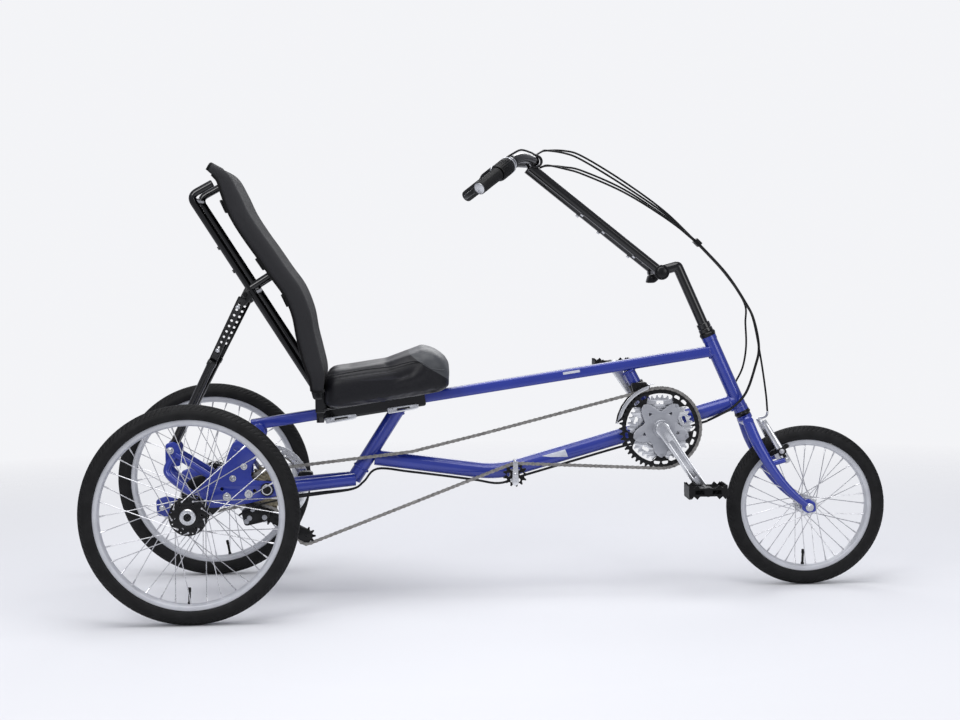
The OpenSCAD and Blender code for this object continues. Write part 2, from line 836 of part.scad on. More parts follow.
// Cables clipped along the underside of the lower tube and the right-hand stay
module frame_cables() {
    color([0.06, 0.06, 0.06]) {
        cable(concat(under_run(-4), [[-345, -34, 261], [-420, -40, 255], [-500, -46, 247]]),
            cable_d, 2);
        cable(concat(under_run(-12), [[-345, -44, 261], [-420, -52, 252], [-500, -57, 243],
            [-560, -58, 232], [-600, -54, 214], [-616, -42, 204]]), cable_d, 2);
    }
}
function under_run(y) = [[518, y, 405], [480, y, 394], [397, y, 368], [300, y, 345], [158, y, 306],
    [60, y, 279], [8, y, 264], [-60, y, 275], [-205, y, 296], [-285, y - 2, 305], [-318, y - 14, 276]];

// ---- Wheels ----

// Ring about the axle line, from a profile of [radius, y] points
module wheel_ring(profile) {
    rotate([90, 0, 0]) rotate_extrude($fn = 96) polygon(profile);
}

module tyre(r, width, depth) {
    rim_r = r - depth;
    color([0.09, 0.09, 0.09])
        rotate([90, 0, 0])
            rotate_extrude($fn = 96)
                difference() {
                    translate([r - width / 2, 0]) circle(d = width, $fn = 40);
                    translate([0, -width]) square([rim_r, 2 * width]);
                }
}

rim_w = 25;
module rim(outer, inner, hub_r, hub_half) {
    color([0.72, 0.73, 0.75]) {
        wheel_ring([
            [outer, -rim_w / 2], [outer, rim_w / 2], [inner + 5, rim_w / 2], [inner, 6],
            [inner, -6], [inner + 5, -rim_w / 2]
        ]);
        for (k = [0 : spokes - 1]) {
            side = k % 2 == 0 ? 1 : -1;
            trailing = floor(k / 2) % 2 == 0 ? 1 : -1;
            a = k * 360 / spokes;
            lace = a + trailing * 60;
            rod([hub_r * cos(lace), side * (hub_half + trailing * 2.4), hub_r * sin(lace)],
                [(inner - 0.3) * cos(a), side * 3, (inner - 0.3) * sin(a)], spoke_d / 2);
        }
    }
}

tyre_depth = 33;
front_rim_out = front_r - tyre_depth;
rear_rim_out = rear_r - tyre_depth;
rim_depth = 15;
front_flange_r = 19;
rear_flange_r = 36;
front_hub_half = 30;
rear_hub_half = 28;

module front_tyre() {
    translate(front_axle) tyre(front_r, tyre_w, tyre_depth);
}
module front_rim() {
    translate(front_axle) rim(front_rim_out, front_rim_out - rim_depth, front_flange_r, front_hub_half);
}
module front_hub() {
    color("silver")
        translate(front_axle) {
            cross_disc([0, 0, 0], 10, -30, 30);
            for (s = [-1, 1]) cross_disc([0, 0, 0], front_flange_r + 4, s * 30 - 1.5, s * 30 + 1.5);
            cross_disc([0, 0, 0], axle_r, -58, 58);
            for (s = [-1, 1]) cross_disc([0, 0, 0], 8, s * 38 - 6, s * 38 + 6);
        }
}

// A rear wheel's parts are drawn for the left side, with their stub axle inside the housing
module rear_hub_solid() {
    color([0.1, 0.1, 0.11])
        translate(rear_axle + [0, track / 2, 0]) {
            cross_disc([0, 0, 0], 22, -rear_hub_half, rear_hub_half + 4);
            for (s = [-1, 1])
                cross_disc([0, 0, 0], rear_flange_r + 7, s * rear_hub_half - 2, s * rear_hub_half + 2);
            cross_disc([0, 0, 0], 17, rear_hub_half + 4, 44);
            cross_disc([0, 0, 0], 13, -36, -rear_hub_half);
        }
    translate(rear_axle)
        cross_disc([0, 0, 0], housing_in - 0.05, sprocket_gap + 6, track / 2 - 30);
}
module rear_tyre_solid() {
    translate(rear_axle + [0, track / 2, 0]) tyre(rear_r, tyre_w, tyre_depth);
}
module rear_rim_solid() {
    translate(rear_axle + [0, track / 2, 0])
        rim(rear_rim_out, rear_rim_out - rim_depth, rear_flange_r, rear_hub_half);
}
module rear_tyre_left() { rear_tyre_solid(); }
module rear_rim_left() { rear_rim_solid(); }
module rear_hub_left() { rear_hub_solid(); }
module rear_tyre_right() { mirror([0, 1, 0]) rear_tyre_solid(); }
module rear_rim_right() { mirror([0, 1, 0]) rear_rim_solid(); }
module rear_hub_right() { mirror([0, 1, 0]) rear_hub_solid(); }

// ---- Cranks ----

crank_angle = -56.7;
crank_y = 84;
pedal_end = [bracket[0] + crank_len * cos(crank_angle), 0, bracket[2] + crank_len * sin(crank_angle)];
pedal_far = 2 * bracket - pedal_end;
module chainrings() {
    color([0.5, 0.5, 0.52])
        difference() {
            union() {
                cross_disc(bracket, ring_r - root_gap, chain_y - 1.5, chain_y + 1.5);
                cross_disc(bracket, 62, chain_y + 6, chain_y + 9);
                cross_disc(bracket, 45, chain_y + 12, chain_y + 14);
                cross_disc(bracket, 24, chain_y - 8, chain_y + 13);
            }
            cross_disc(bracket, 9, -100, 100);
        }
}
module crank_arm(end, y0, y1) {
    difference() {
        union() {
            cross_disc(bracket, 17, y0, y1);
            cross_disc(end, 14, y0, y1);
            d = end - bracket;
            translate([bracket[0], y0, bracket[2]])
                rotate([0, -atan2(d[2], d[0]), 0])
                    translate([0, 0, -11]) cube([norm(d), y1 - y0, 22]);
        }
        cross_disc(end, pedal_pin_r, y0 - 1, y1 + 1);
    }
}
pedal_pin_r = 7;
module crank_right() {
    color("silver") {
        crank_arm(pedal_end, -crank_y - 7, -crank_y + 7);
        cross_disc(bracket, 8.9, -crank_y + 7, crank_y - 7);
    }
}
module crank_left() {
    color("silver") crank_arm(pedal_far, crank_y - 7, crank_y + 7);
}

module pedal_solid() {
    difference() {
        union() {
            translate([-46, crank_y + 17, -12]) cube([92, 80, 24]);
            cross_disc([0, 0, 0], 12, crank_y + 12, crank_y + 20);
        }
        for (x = [-34, 14]) translate([x, crank_y + 27, -20]) cube([20, 60, 40]);
    }
    cross_disc([0, 0, 0], pedal_pin_r - 0.05, crank_y - 7, crank_y + 17);
}
module pedal_right() {
    color([0.1, 0.1, 0.1]) translate(pedal_end) mirror([0, 1, 0]) pedal_solid();
}
module pedal_left() {
    color([0.1, 0.1, 0.1]) translate(pedal_far) pedal_solid();
}

head_tube();
headset();
top_tube();
lower_tube();
seat_stay();
bottom_bracket();
rear_stays();
drive_plates();
rear_loop();
axle_housing();
axle_sprocket();
cassette();
brake_disc();
rear_derailleur();
front_derailleur();
drive_chain();
rear_chain();
chain_idler();
seat_base();
seat_cushion();
seat_levers();
seat_rail_left();
seat_rail_right();
seat_cross_tubes();
seat_back_mesh();
recline_strut_left();
recline_strut_right();
frame_cables();
control_cables();
upper_cables();
fork();
stem_riser();
stem_clamp();
mast();
handlebar();
grip_left();
grip_right();
shifters();
brake_levers();
front_brake();
front_brake_cable();
front_tyre();
front_rim();
front_hub();
rear_tyre_left();
rear_rim_left();
rear_hub_left();
rear_tyre_right();
rear_rim_right();
rear_hub_right();
chainrings();
crank_right();
crank_left();
pedal_right();
pedal_left();
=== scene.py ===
import json
import bpy
import bmesh
import numpy as np
from math import pi, radians, sin, cos
from mathutils import Matrix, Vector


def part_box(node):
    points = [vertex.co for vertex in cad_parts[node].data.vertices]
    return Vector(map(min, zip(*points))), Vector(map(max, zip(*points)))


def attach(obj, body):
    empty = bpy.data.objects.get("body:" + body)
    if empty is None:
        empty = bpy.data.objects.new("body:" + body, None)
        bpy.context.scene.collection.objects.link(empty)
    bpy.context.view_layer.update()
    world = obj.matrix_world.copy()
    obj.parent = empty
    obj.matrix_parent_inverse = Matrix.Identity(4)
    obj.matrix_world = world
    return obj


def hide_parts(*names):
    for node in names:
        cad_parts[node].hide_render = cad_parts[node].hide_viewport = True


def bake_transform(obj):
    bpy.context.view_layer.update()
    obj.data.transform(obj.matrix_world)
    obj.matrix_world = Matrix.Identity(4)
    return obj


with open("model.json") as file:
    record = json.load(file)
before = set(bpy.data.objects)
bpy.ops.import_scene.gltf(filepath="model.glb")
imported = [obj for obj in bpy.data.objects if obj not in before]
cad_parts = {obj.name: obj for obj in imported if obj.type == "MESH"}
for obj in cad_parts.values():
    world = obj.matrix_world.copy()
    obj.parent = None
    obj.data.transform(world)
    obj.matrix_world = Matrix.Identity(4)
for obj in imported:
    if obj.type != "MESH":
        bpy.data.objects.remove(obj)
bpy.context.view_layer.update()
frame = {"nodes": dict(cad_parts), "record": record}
scene = bpy.context.scene
xDir, yDir, zDir = np.eye(3)
print("stage: frame loaded")

# Points are in metres: x forward, y to the rider's left, z up


def unit(v):  # v divided by its own length
    v = np.asarray(v, float)
    return v / np.linalg.norm(v, axis=-1, keepdims=True)


def middleOf(node):  # half-way between the node's lowest and highest corners
    low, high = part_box(node)
    return (np.array(low) + np.array(high)) / 2


def centred(x, z):  # a point of the middle plane
    return np.array([x, 0, z])


def angles(count):  # count equal steps round a full turn
    return np.linspace(0, 2 * pi, count, endpoint=False)


def ringPoints(radius, count):  # radius times (cos t, sin t)
    t = angles(count)
    return radius * np.c_[np.cos(t), np.sin(t)]


# Rounded rectangle: four quarter circles round the corner centres
def boxSection(width, height, corner, steps=5):
    t = np.linspace(0, pi / 2, steps)
    turns = np.arange(4)[:, None] * pi / 2 + t
    cx = (width / 2 - corner) * np.array([1, -1, -1, 1])[:, None]
    cy = (height / 2 - corner) * np.array([1, 1, -1, -1])[:, None]
    return np.stack([cx + corner * np.cos(turns), cy + corner * np.sin(turns)], -1).reshape(-1, 2)


# Each inner corner becomes a quadratic arc that begins and ends reach away from it
def roundPath(points, reach, steps=9, closed=False):
    p = np.asarray(points, float)
    if closed:
        p = np.vstack([p[-1:], p, p[:1]])
    if len(p) < 3:
        return p
    before, corner, after = p[:-2], p[1:-1], p[2:]
    into = np.minimum(reach, 0.47 * np.linalg.norm(before - corner, axis=1))[:, None]
    outOf = np.minimum(reach, 0.47 * np.linalg.norm(after - corner, axis=1))[:, None]
    a = (corner + into * unit(before - corner))[:, None]
    b = (corner + outOf * unit(after - corner))[:, None]
    t = np.linspace(0, 1, steps)[None, :, None]
    arcs = (1 - t) ** 2 * a + 2 * t * (1 - t) * corner[:, None] + t ** 2 * b
    arcs = arcs.reshape(-1, p.shape[1])
    return arcs if closed else np.vstack([p[:1], arcs, p[-1:]])


def rounded(points, reach, steps=5):  # the same on a closed outline
    return roundPath(points, reach, steps, True)


# Catmull-Rom curve: a cubic in t on each span, steered by the points before and after it
def smoothPath(points, steps=8):
    p = np.asarray(points, float)
    q = np.vstack([2 * p[0] - p[1], p, 2 * p[-1] - p[-2]])
    a, b, c, d = (q[i:len(q) - 3 + i, None] for i in range(4))
    t = np.linspace(0, 1, steps, endpoint=False)[None, :, None]
    curve = 0.5 * (2 * b + (c - a) * t + (2 * a - 5 * b + 4 * c - d) * t ** 2
                   + (3 * b - a - 3 * c + d) * t ** 3)
    return np.vstack([curve.reshape(-1, p.shape[1]), p[-1:]])


# Points at equal distances along a line
def evenly(path, count, closed=False):
    path = np.vstack([path, path[:1]]) if closed else np.asarray(path, float)
    run = np.r_[0, np.cumsum(np.linalg.norm(np.diff(path, axis=0), axis=1))]
    s = np.linspace(0, run[-1], count, endpoint=not closed)
    return np.stack([np.interp(s, run, path[:, k]) for k in range(path.shape[1])], -1)


# Four-sided faces between neighbouring rows and columns of an n by m grid of points
def gridFaces(n, m, closeRows=False, closeCols=False):
    i, j = np.meshgrid(np.arange(n - (not closeRows)), np.arange(m - (not closeCols)), indexing="ij")
    down, right = (i + 1) % n, (j + 1) % m
    return np.stack([i * m + j, i * m + right, down * m + right, down * m + j], -1).reshape(-1, 4).tolist()


# point(u, v) = path(u) + section x(v) on the side vector + section y(v) on the up vector
def sweep(path, section, across=yDir, scale=1.0, closed=False):
    path, section = np.asarray(path, float), np.asarray(section, float)
    n, m = len(path), len(section)
    ahead = np.roll(path, -1, 0) - np.roll(path, 1, 0) if closed else np.gradient(path, axis=0)
    side = unit(np.cross(unit(ahead), across))
    up = np.cross(side, unit(ahead))
    scale = np.broadcast_to(np.asarray(scale, float).reshape(-1, 1) if np.ndim(scale) < 2 else scale, (n, 2))
    points = (path[:, None] + scale[:, None, :1] * section[None, :, :1] * side[:, None]
              + scale[:, None, 1:] * section[None, :, 1:] * up[:, None])
    faces = gridFaces(n, m, closed, True)
    if not closed:
        faces += [list(range(m)), list(range((n - 1) * m, n * m))]
    return points.reshape(-1, 3), faces


# A round bar along a path, its ends eased; radii at the path's corners may differ
def tube(path, radius, bend=0.03, sides=28, across=yDir, flat=(1, 1), ease=0.0008):
    corners = np.asarray(path, float)
    line = roundPath(corners, bend) if bend else corners
    line = line[np.r_[True, np.linalg.norm(np.diff(line, axis=0), axis=1) > 1e-6]]
    first, last = unit(line[1] - line[0]), unit(line[-1] - line[-2])
    line = np.vstack([line[0], line[0] + ease * first, line[1:-1], line[-1] - ease * last, line[-1]])
    run = np.r_[0, np.cumsum(np.linalg.norm(np.diff(line, axis=0), axis=1))]
    marks = np.r_[0, np.cumsum(np.linalg.norm(np.diff(corners, axis=0), axis=1))]
    r = np.interp(run / run[-1], marks / marks[-1], np.broadcast_to(radius, len(corners)).astype(float))
    r[[0, -1]] -= ease
    return sweep(line, ringPoints(1, sides), across, r[:, None] * np.array(flat)[None, :])


# point(t, k) = centre + a(k) along the axis + r(k) (cos t, sin t) round it, profile rows are (r, a)
def lathe(profile, centre, axis=yDir, steps=64, closed=False):
    profile, axis = np.asarray(profile, float), unit(axis)
    e1 = unit(np.cross(axis, zDir if abs(axis[2]) < 0.9 else xDir))
    e2 = np.cross(axis, e1)
    t = angles(steps)
    spoke = np.cos(t)[:, None] * e1 + np.sin(t)[:, None] * e2
    points = (np.asarray(centre, float) + profile[None, :, 1:] * axis
              + profile[None, :, :1] * spoke[:, None])
    return points.reshape(-1, 3), gridFaces(steps, len(profile), True, closed)


# A turned disc or boss with eased edges, from a0 to a1 along the axis
def disc(centre, radius, a0, a1, axis=yDir, steps=48, ease=0.0006):
    return lathe([[0, a0], [radius - ease, a0], [radius, a0 + ease], [radius, a1 - ease],
                  [radius - ease, a1], [0, a1]], centre, axis, steps)


# A ring of rectangular section with eased outer edges
def collar(centre, outer, inner, a0, a1, axis=yDir, steps=48, ease=0.0006):
    return lathe([[inner, a0], [outer - ease, a0], [outer, a0 + ease], [outer, a1 - ease],
                  [outer - ease, a1], [inner, a1]], centre, axis, steps, True)


# Many straight bars at once: every start is joined to its end by a prism of so many sides
def rods(starts, ends, radius, sides=6, tip=None):
    starts, ends = np.atleast_2d(starts).astype(float), np.atleast_2d(ends).astype(float)
    ahead = unit(ends - starts)
    guide = np.where(np.abs(ahead[:, 1:2]) < 0.9, yDir, xDir)
    side = unit(np.cross(ahead, guide))
    up = np.cross(side, ahead)
    t = angles(sides)[None, :, None]
    circle = np.cos(t) * side[:, None] + np.sin(t) * up[:, None]
    points = np.concatenate([starts[:, None] + radius * circle,
                             ends[:, None] + (radius if tip is None else tip) * circle], 1)
    j = np.arange(sides)
    walls = np.stack([j, (j + 1) % sides, (j + 1) % sides + sides, j + sides], -1).tolist()
    one = walls + [j.tolist(), (j + sides).tolist()]
    faces = [[i + k * 2 * sides for i in face] for k in range(len(starts)) for face in one]
    return points.reshape(-1, 3), faces


def mirrored(part):  # y becomes -y, and the faces are turned back to face outwards
    return part[0] * [1, -1, 1], [face[::-1] for face in part[1]]


def bothSides(parts):
    return parts + [mirrored(p) for p in parts]


# A flat plate with holes: closed outlines filled, given a thickness and eased edges,
# then set with its own x along u and its own y along v
def plate(outlines, thick, origin=(0, 0, 0), u=xDir, v=zDir, ease=0.0005):
    curve = bpy.data.curves.new("outline", "CURVE")
    curve.dimensions, curve.fill_mode = "2D", "BOTH"
    curve.extrude, curve.bevel_depth, curve.offset = thick / 2 - ease, ease, -ease
    curve.bevel_resolution = 1
    for outline in outlines:
        spline = curve.splines.new("POLY")
        spline.points.add(len(outline) - 1)
        flat = np.c_[np.asarray(outline, float), np.zeros(len(outline)), np.ones(len(outline))]
        spline.points.foreach_set("co", flat.ravel())
        spline.use_cyclic_u = True
    shape = bpy.data.objects.new("outline", curve)
    scene.collection.objects.link(shape)
    mesh = bpy.data.meshes.new_from_object(shape.evaluated_get(bpy.context.evaluated_depsgraph_get()))
    points = np.empty(len(mesh.vertices) * 3)
    mesh.vertices.foreach_get("co", points)
    corner = np.empty(len(mesh.loops), int)
    mesh.loops.foreach_get("vertex_index", corner)
    starts = np.empty(len(mesh.polygons), int)
    mesh.polygons.foreach_get("loop_start", starts)
    faces = [f.tolist() for f in np.split(corner, starts[1:])]
    bpy.data.objects.remove(shape)
    bpy.data.curves.remove(curve)
    bpy.data.meshes.remove(mesh)
    p = points.reshape(-1, 3)
    u, v = unit(u), unit(v)
    return np.asarray(origin, float) + p[:, :1] * u + p[:, 1:2] * v + p[:, 2:] * np.cross(u, v), faces


def holesAt(centres, radius, sides=14):  # one small circle round each centre
    return [np.asarray(c, float)[:2] + ringPoints(radius, sides) for c in centres]


# A hexagon head with a domed top on a washer, pointing along the axis
def bolt(at, axis=-yDir, size=0.005):
    return [lathe([[0, 0], [size * 1.45, 0], [size * 1.45, size * 0.25], [0, size * 0.25]], at, axis, 24),
            lathe([[0, 0], [size, 0], [size, size * 0.75], [size * 0.8, size * 0.95], [0, size]],
                  at, axis, 6)]


def bolts(places, axis, size):  # the same bolt at several places
    return [part for at in places for part in bolt(at, axis, size)]


# A bead of weld round a joint: a small ring whose radius ripples with the angle
def weld(at, axis, radius, size=0.0024, ripples=40):
    axis = unit(axis)
    e1 = unit(np.cross(axis, yDir if abs(axis[1]) < 0.9 else xDir))
    t, v = np.meshgrid(angles(ripples * 5), angles(8), indexing="ij")
    bead = size * (1 + 0.22 * np.cos(ripples * t))
    r = radius + bead * np.cos(v) * 0.8
    points = (np.asarray(at, float) + r[..., None] * (np.cos(t)[..., None] * e1
              + np.sin(t)[..., None] * np.cross(axis, e1)) + (bead * np.sin(v))[..., None] * axis)
    return points.reshape(-1, 3), gridFaces(ripples * 5, 8, True, True)


# Toothed rim: the radius swings between root and tip once per tooth, with flat roots
def toothed(teeth, pitchRadius, tip=0.0036, root=0.004, per=8):
    t = angles(teeth * per)
    lift = np.clip((np.cos(teeth * t) + 0.45) / 1.2, 0, 1)
    r = pitchRadius - root + (root + tip) * lift
    return r[:, None] * np.c_[np.cos(t), np.sin(t)]


# Builds one object from parts: doubles merged, faces turned outwards, sharp edges kept crisp
def piece(name, parts, material, body, replaces=(), crisp=38, merge=True):
    points, faces, base = [], [], 0
    for p, f in parts:
        points.append(p)
        faces += [[i + base for i in face] for face in f] if base else list(f)
        base += len(p)
    mesh = bpy.data.meshes.new(name)
    mesh.from_pydata(np.vstack(points).tolist(), [], faces)
    if merge:
        work = bmesh.new()
        work.from_mesh(mesh)
        bmesh.ops.remove_doubles(work, verts=work.verts, dist=1e-6)
        bmesh.ops.recalc_face_normals(work, faces=work.faces)
        work.to_mesh(mesh)
        work.free()
    mesh.shade_smooth()
    mesh.set_sharp_from_angle(angle=radians(crisp))
    mesh.materials.append(material)
    made = bpy.data.objects.new(name, mesh)
    scene.collection.objects.link(made)
    if body:
        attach(made, body)
    if replaces:
        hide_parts(*replaces)
    return made


# Camera to the trike's right, a little behind its middle and slightly above it
cameraSpec = {"place": (-0.27647, -4.73499, 0.82784), "turn": 0.05145, "down": 0.0559,
              "roll": -0.01481, "lens": 73.74}
camera = bpy.data.objects.new("camera", bpy.data.cameras.new("camera"))
camera.data.lens = cameraSpec["lens"]
camera.data.sensor_width = 36
camera.matrix_world = (Matrix.Translation(cameraSpec["place"]) @ Matrix.Rotation(-cameraSpec["turn"], 4, "Z")
                       @ Matrix.Rotation(pi / 2 - cameraSpec["down"], 4, "X")
                       @ Matrix.Rotation(cameraSpec["roll"], 4, "Z"))
scene.collection.objects.link(camera)
scene.camera = camera


def areaLight(name, place, target, size, power):
    lamp = bpy.data.objects.new(name, bpy.data.lights.new(name, "AREA"))
    lamp.data.size, lamp.data.energy = size, power
    aim = unit(np.array(target) - np.array(place))
    side = unit(np.cross(aim, zDir + 0.01 * xDir))
    lamp.matrix_world = Matrix([[*row] for row in np.vstack([np.c_[side, np.cross(side, aim), -aim, place],
                                                            [0, 0, 0, 1]])])
    scene.collection.objects.link(lamp)


areaLight("topLight", (-0.2, -0.5, 3.4), (0, 0, 0), 3.0, 92)
areaLight("keyLight", (-2.2, -3.8, 2.6), (0, 0, 0.5), 1.8, 62)
areaLight("fillLight", (3.0, -3.2, 1.8), (0, 0, 0.4), 2.0, 34)
areaLight("backLight", (0.5, 3.8, 2.6), (0, 0, 0.5), 2.4, 50)
world = bpy.data.worlds.new("studio")
world.use_nodes = True
worldNodes, worldLinks = world.node_tree.nodes, world.node_tree.links
# The backdrop shows pale, but lights the trike only softly
glow = worldNodes["Background"]
glow.inputs["Color"].default_value = (0.88, 0.9, 1.0, 1)
glow.inputs["Strength"].default_value = 0.42
backdrop, seen, pick = (worldNodes.new(k) for k in ("ShaderNodeBackground", "ShaderNodeLightPath",
                                                    "ShaderNodeMixShader"))
backdrop.inputs["Color"].default_value = (0.9, 0.905, 0.93, 1)
worldLinks.new(seen.outputs["Is Camera Ray"], pick.inputs["Fac"])
worldLinks.new(glow.outputs["Background"], pick.inputs[1])
worldLinks.new(backdrop.outputs["Background"], pick.inputs[2])
worldLinks.new(pick.outputs["Shader"], worldNodes["World Output"].inputs["Surface"])
scene.world = world
scene.view_settings.view_transform = "Standard"


# Principled shader with optional mottling, roughness grain and bump, all on Object coordinates
def makeMaterial(name, colour, rough, metal=0.0, coat=0.0, second=None, mottle=60.0,
                 grain=0.0, grainScale=400.0, bump=0.0, bumpScale=900.0, sheen=0.0, mirror=0.5):
    material = bpy.data.materials.new(name)
    material.use_nodes = True
    nodes, links = material.node_tree.nodes, material.node_tree.links
    shader = nodes["Principled BSDF"]
    shader.inputs["Base Color"].default_value = (*colour, 1)
    shader.inputs["Roughness"].default_value = rough
    shader.inputs["Metallic"].default_value = metal
    shader.inputs["Coat Weight"].default_value = coat
    shader.inputs["Coat Roughness"].default_value = 0.06
    shader.inputs["Specular IOR Level"].default_value = mirror
    shader.inputs["Sheen Weight"].default_value = sheen
    place = nodes.new("ShaderNodeTexCoord")

    def noise(scale):
        texture = nodes.new("ShaderNodeTexNoise")
        texture.inputs["Scale"].default_value = scale
        texture.inputs["Detail"].default_value = 3
        links.new(place.outputs["Object"], texture.inputs["Vector"])
        return texture.outputs["Fac"]

    if second:
        ramp = nodes.new("ShaderNodeValToRGB")
        ramp.color_ramp.elements[0].position, ramp.color_ramp.elements[1].position = 0.38, 0.66
        ramp.color_ramp.elements[0].color = (*colour, 1)
        ramp.color_ramp.elements[1].color = (*second, 1)
        links.new(noise(mottle), ramp.inputs["Fac"])
        links.new(ramp.outputs["Color"], shader.inputs["Base Color"])
    if grain:
        spread = nodes.new("ShaderNodeMapRange")
        spread.inputs["To Min"].default_value = rough - grain
        spread.inputs["To Max"].default_value = rough + grain
        links.new(noise(grainScale), spread.inputs["Value"])
        links.new(spread.outputs["Result"], shader.inputs["Roughness"])
    if bump:
        relief = nodes.new("ShaderNodeBump")
        relief.inputs["Distance"].default_value = bump
        relief.inputs["Strength"].default_value = 0.7
        links.new(noise(bumpScale), relief.inputs["Height"])
        links.new(relief.outputs["Normal"], shader.inputs["Normal"])
    return material


bluePaint = makeMaterial("bluePaint", (0.013, 0.029, 0.27), 0.32, 0.1, 0.8,
                         (0.016, 0.034, 0.3), 9, 0.05, 30, mirror=0.35)
blackPaint = makeMaterial("blackPaint", (0.0012, 0.0012, 0.0015), 0.2, 0.0, 0.55,
                          (0.0025, 0.0025, 0.0028), 20, 0.04, 60, mirror=0.3)
blackPlastic = makeMaterial("blackPlastic", (0.002, 0.002, 0.0022), 0.42, 0.0, 0.0,
                            (0.0045, 0.0045, 0.005), 50, 0.1, 300, 0.0001, 1600, mirror=0.22)
darkMetal = makeMaterial("darkMetal", (0.0028, 0.0028, 0.0032), 0.3, 0.1, 0.1,
                         (0.006, 0.006, 0.0066), 120, 0.08, 500, mirror=0.28)
brightAlloy = makeMaterial("brightAlloy", (0.74, 0.75, 0.77), 0.26, 1.0, 0.0,
                           (0.6, 0.61, 0.63), 35, 0.08, 260, 0.00003, 700)
rimAlloy = makeMaterial("rimAlloy", (0.62, 0.63, 0.66), 0.4, 0.55, 0.0,
                        (0.54, 0.55, 0.58), 25, 0.08, 200, 0.00003, 900)
greyAlloy = makeMaterial("greyAlloy", (0.4, 0.41, 0.44), 0.4, 0.6, 0.0,
                         (0.34, 0.35, 0.38), 40, 0.08, 300)
spokeSteel = makeMaterial("spokeSteel", (0.66, 0.66, 0.68), 0.28, 0.9, 0.0,
                          (0.5, 0.5, 0.52), 90, 0.06, 400)
chainSteel = makeMaterial("chainSteel", (0.34, 0.33, 0.31), 0.34, 0.85, 0.0,
                          (0.2, 0.19, 0.18), 160, 0.12, 500)
goldSteel = makeMaterial("goldSteel", (0.3, 0.26, 0.18), 0.34, 0.9, 0.0,
                         (0.2, 0.18, 0.14), 90, 0.1, 400)
tyreRubber = makeMaterial("tyreRubber", (0.0035, 0.0035, 0.0038), 0.58, 0.0, 0.0,
                          (0.0075, 0.0075, 0.008), 45, 0.1, 500, 0.0002, 1500, mirror=0.22)
gripRubber = makeMaterial("gripRubber", (0.003, 0.003, 0.0034), 0.55, 0.0, 0.0,
                          (0.007, 0.007, 0.0075), 80, 0.08, 700, 0.00015, 2200, mirror=0.25)
webbing = makeMaterial("webbing", (0.002, 0.002, 0.0024), 0.8, 0.0, 0.0,
                       (0.0045, 0.0045, 0.005), 400, 0.06, 900, 0.0002, 2400, 0.05, mirror=0.15)
cableSleeve = makeMaterial("cableSleeve", (0.0018, 0.0018, 0.002), 0.36, 0.0, 0.0,
                           (0.003, 0.003, 0.0034), 12, 0.03, 40, mirror=0.25)
whiteStripe = makeMaterial("whiteStripe", (0.62, 0.64, 0.7), 0.3, 0.2, 0.6,
                           (0.5, 0.52, 0.6), 60, 0.05, 200)
vinyl = makeMaterial("vinyl", (0.0055, 0.0055, 0.0075), 0.42, 0.0, 0.0,
                     (0.0085, 0.0085, 0.011), 260, 0.08, 700, 0.0001, 1500, mirror=0.25)


# Cushion colour: ahead of a slanted, wavy edge, where 0.76 x + z passes a limit, the nose panel is a lighter
# grey, a painted sheen standing for light off it; a lens on each side, where an ellipse in x and z is under
# 1, carries small dots
# cap is the colour of the painted sheen on the nose panel
vinylSpec = {"slope": 0.762, "limit": 0.4336, "wave": 0.004, "waves": 42.0, "cap": (0.062, 0.065, 0.07),
             "lens": (-0.296, 0.538), "lensHalf": (0.088, 0.0115), "side": 0.135,
             "dots": 420, "dotSize": 0.3, "dot": (0.035, 0.035, 0.045)}


def paintSheenAndDots():
    nodes, links = vinyl.node_tree.nodes, vinyl.node_tree.links
    shader = nodes["Principled BSDF"]
    plain = shader.inputs["Base Color"].links[0].from_socket
    place = nodes.new("ShaderNodeTexCoord")

    def maths(kind, first, second=None, third=None):
        node = nodes.new("ShaderNodeVectorMath" if kind == "DOT_PRODUCT" else "ShaderNodeMath")
        node.operation = kind
        for socket, value in zip(node.inputs, (first, second, third)):
            if value is None:
                continue
            if isinstance(value, bpy.types.NodeSocket):
                links.new(value, socket)
            else:
                socket.default_value = value
        return node.outputs["Value"]

    def blendOf(factor, under, over):
        mix = nodes.new("ShaderNodeMix")
        mix.data_type = "RGBA"
        links.new(factor, mix.inputs["Factor"])
        links.new(under, mix.inputs["A"])
        mix.inputs["B"].default_value = (*over, 1)
        return mix.outputs["Result"]

    split = nodes.new("ShaderNodeSeparateXYZ")
    links.new(place.outputs["Object"], split.inputs["Vector"])
    ahead = maths("DOT_PRODUCT", place.outputs["Object"], (vinylSpec["slope"], 0, 1))
    wavy = maths("MULTIPLY_ADD", maths("SINE", maths("MULTIPLY", split.outputs["X"], vinylSpec["waves"])),
                 vinylSpec["wave"], vinylSpec["limit"])
    # painted sheen: the nose panel is coloured lighter grey to stand for light glancing off it
    cap = maths("GREATER_THAN", ahead, wavy)
    dx, dz = (maths("POWER", maths("MULTIPLY_ADD", split.outputs[k], 1 / wide, -at / wide), 2.0)
              for k, at, wide in zip("XZ", vinylSpec["lens"], vinylSpec["lensHalf"]))
    inLens = maths("LESS_THAN", maths("ADD", dx, dz), 1.0)
    atSide = maths("GREATER_THAN", maths("ABSOLUTE", split.outputs["Y"]), vinylSpec["side"])
    dots = nodes.new("ShaderNodeTexVoronoi")
    dots.inputs["Scale"].default_value = vinylSpec["dots"]
    dots.inputs["Randomness"].default_value = 0.1
    links.new(place.outputs["Object"], dots.inputs["Vector"])
    dot = maths("MULTIPLY", maths("LESS_THAN", dots.outputs["Distance"], vinylSpec["dotSize"]),
                maths("MULTIPLY", inLens, atSide))
    colour = blendOf(cap, plain, vinylSpec["cap"])
    links.new(blendOf(dot, colour, vinylSpec["dot"]), shader.inputs["Base Color"])


paintSheenAndDots()
print("stage: camera, lights and materials")


# Wheels

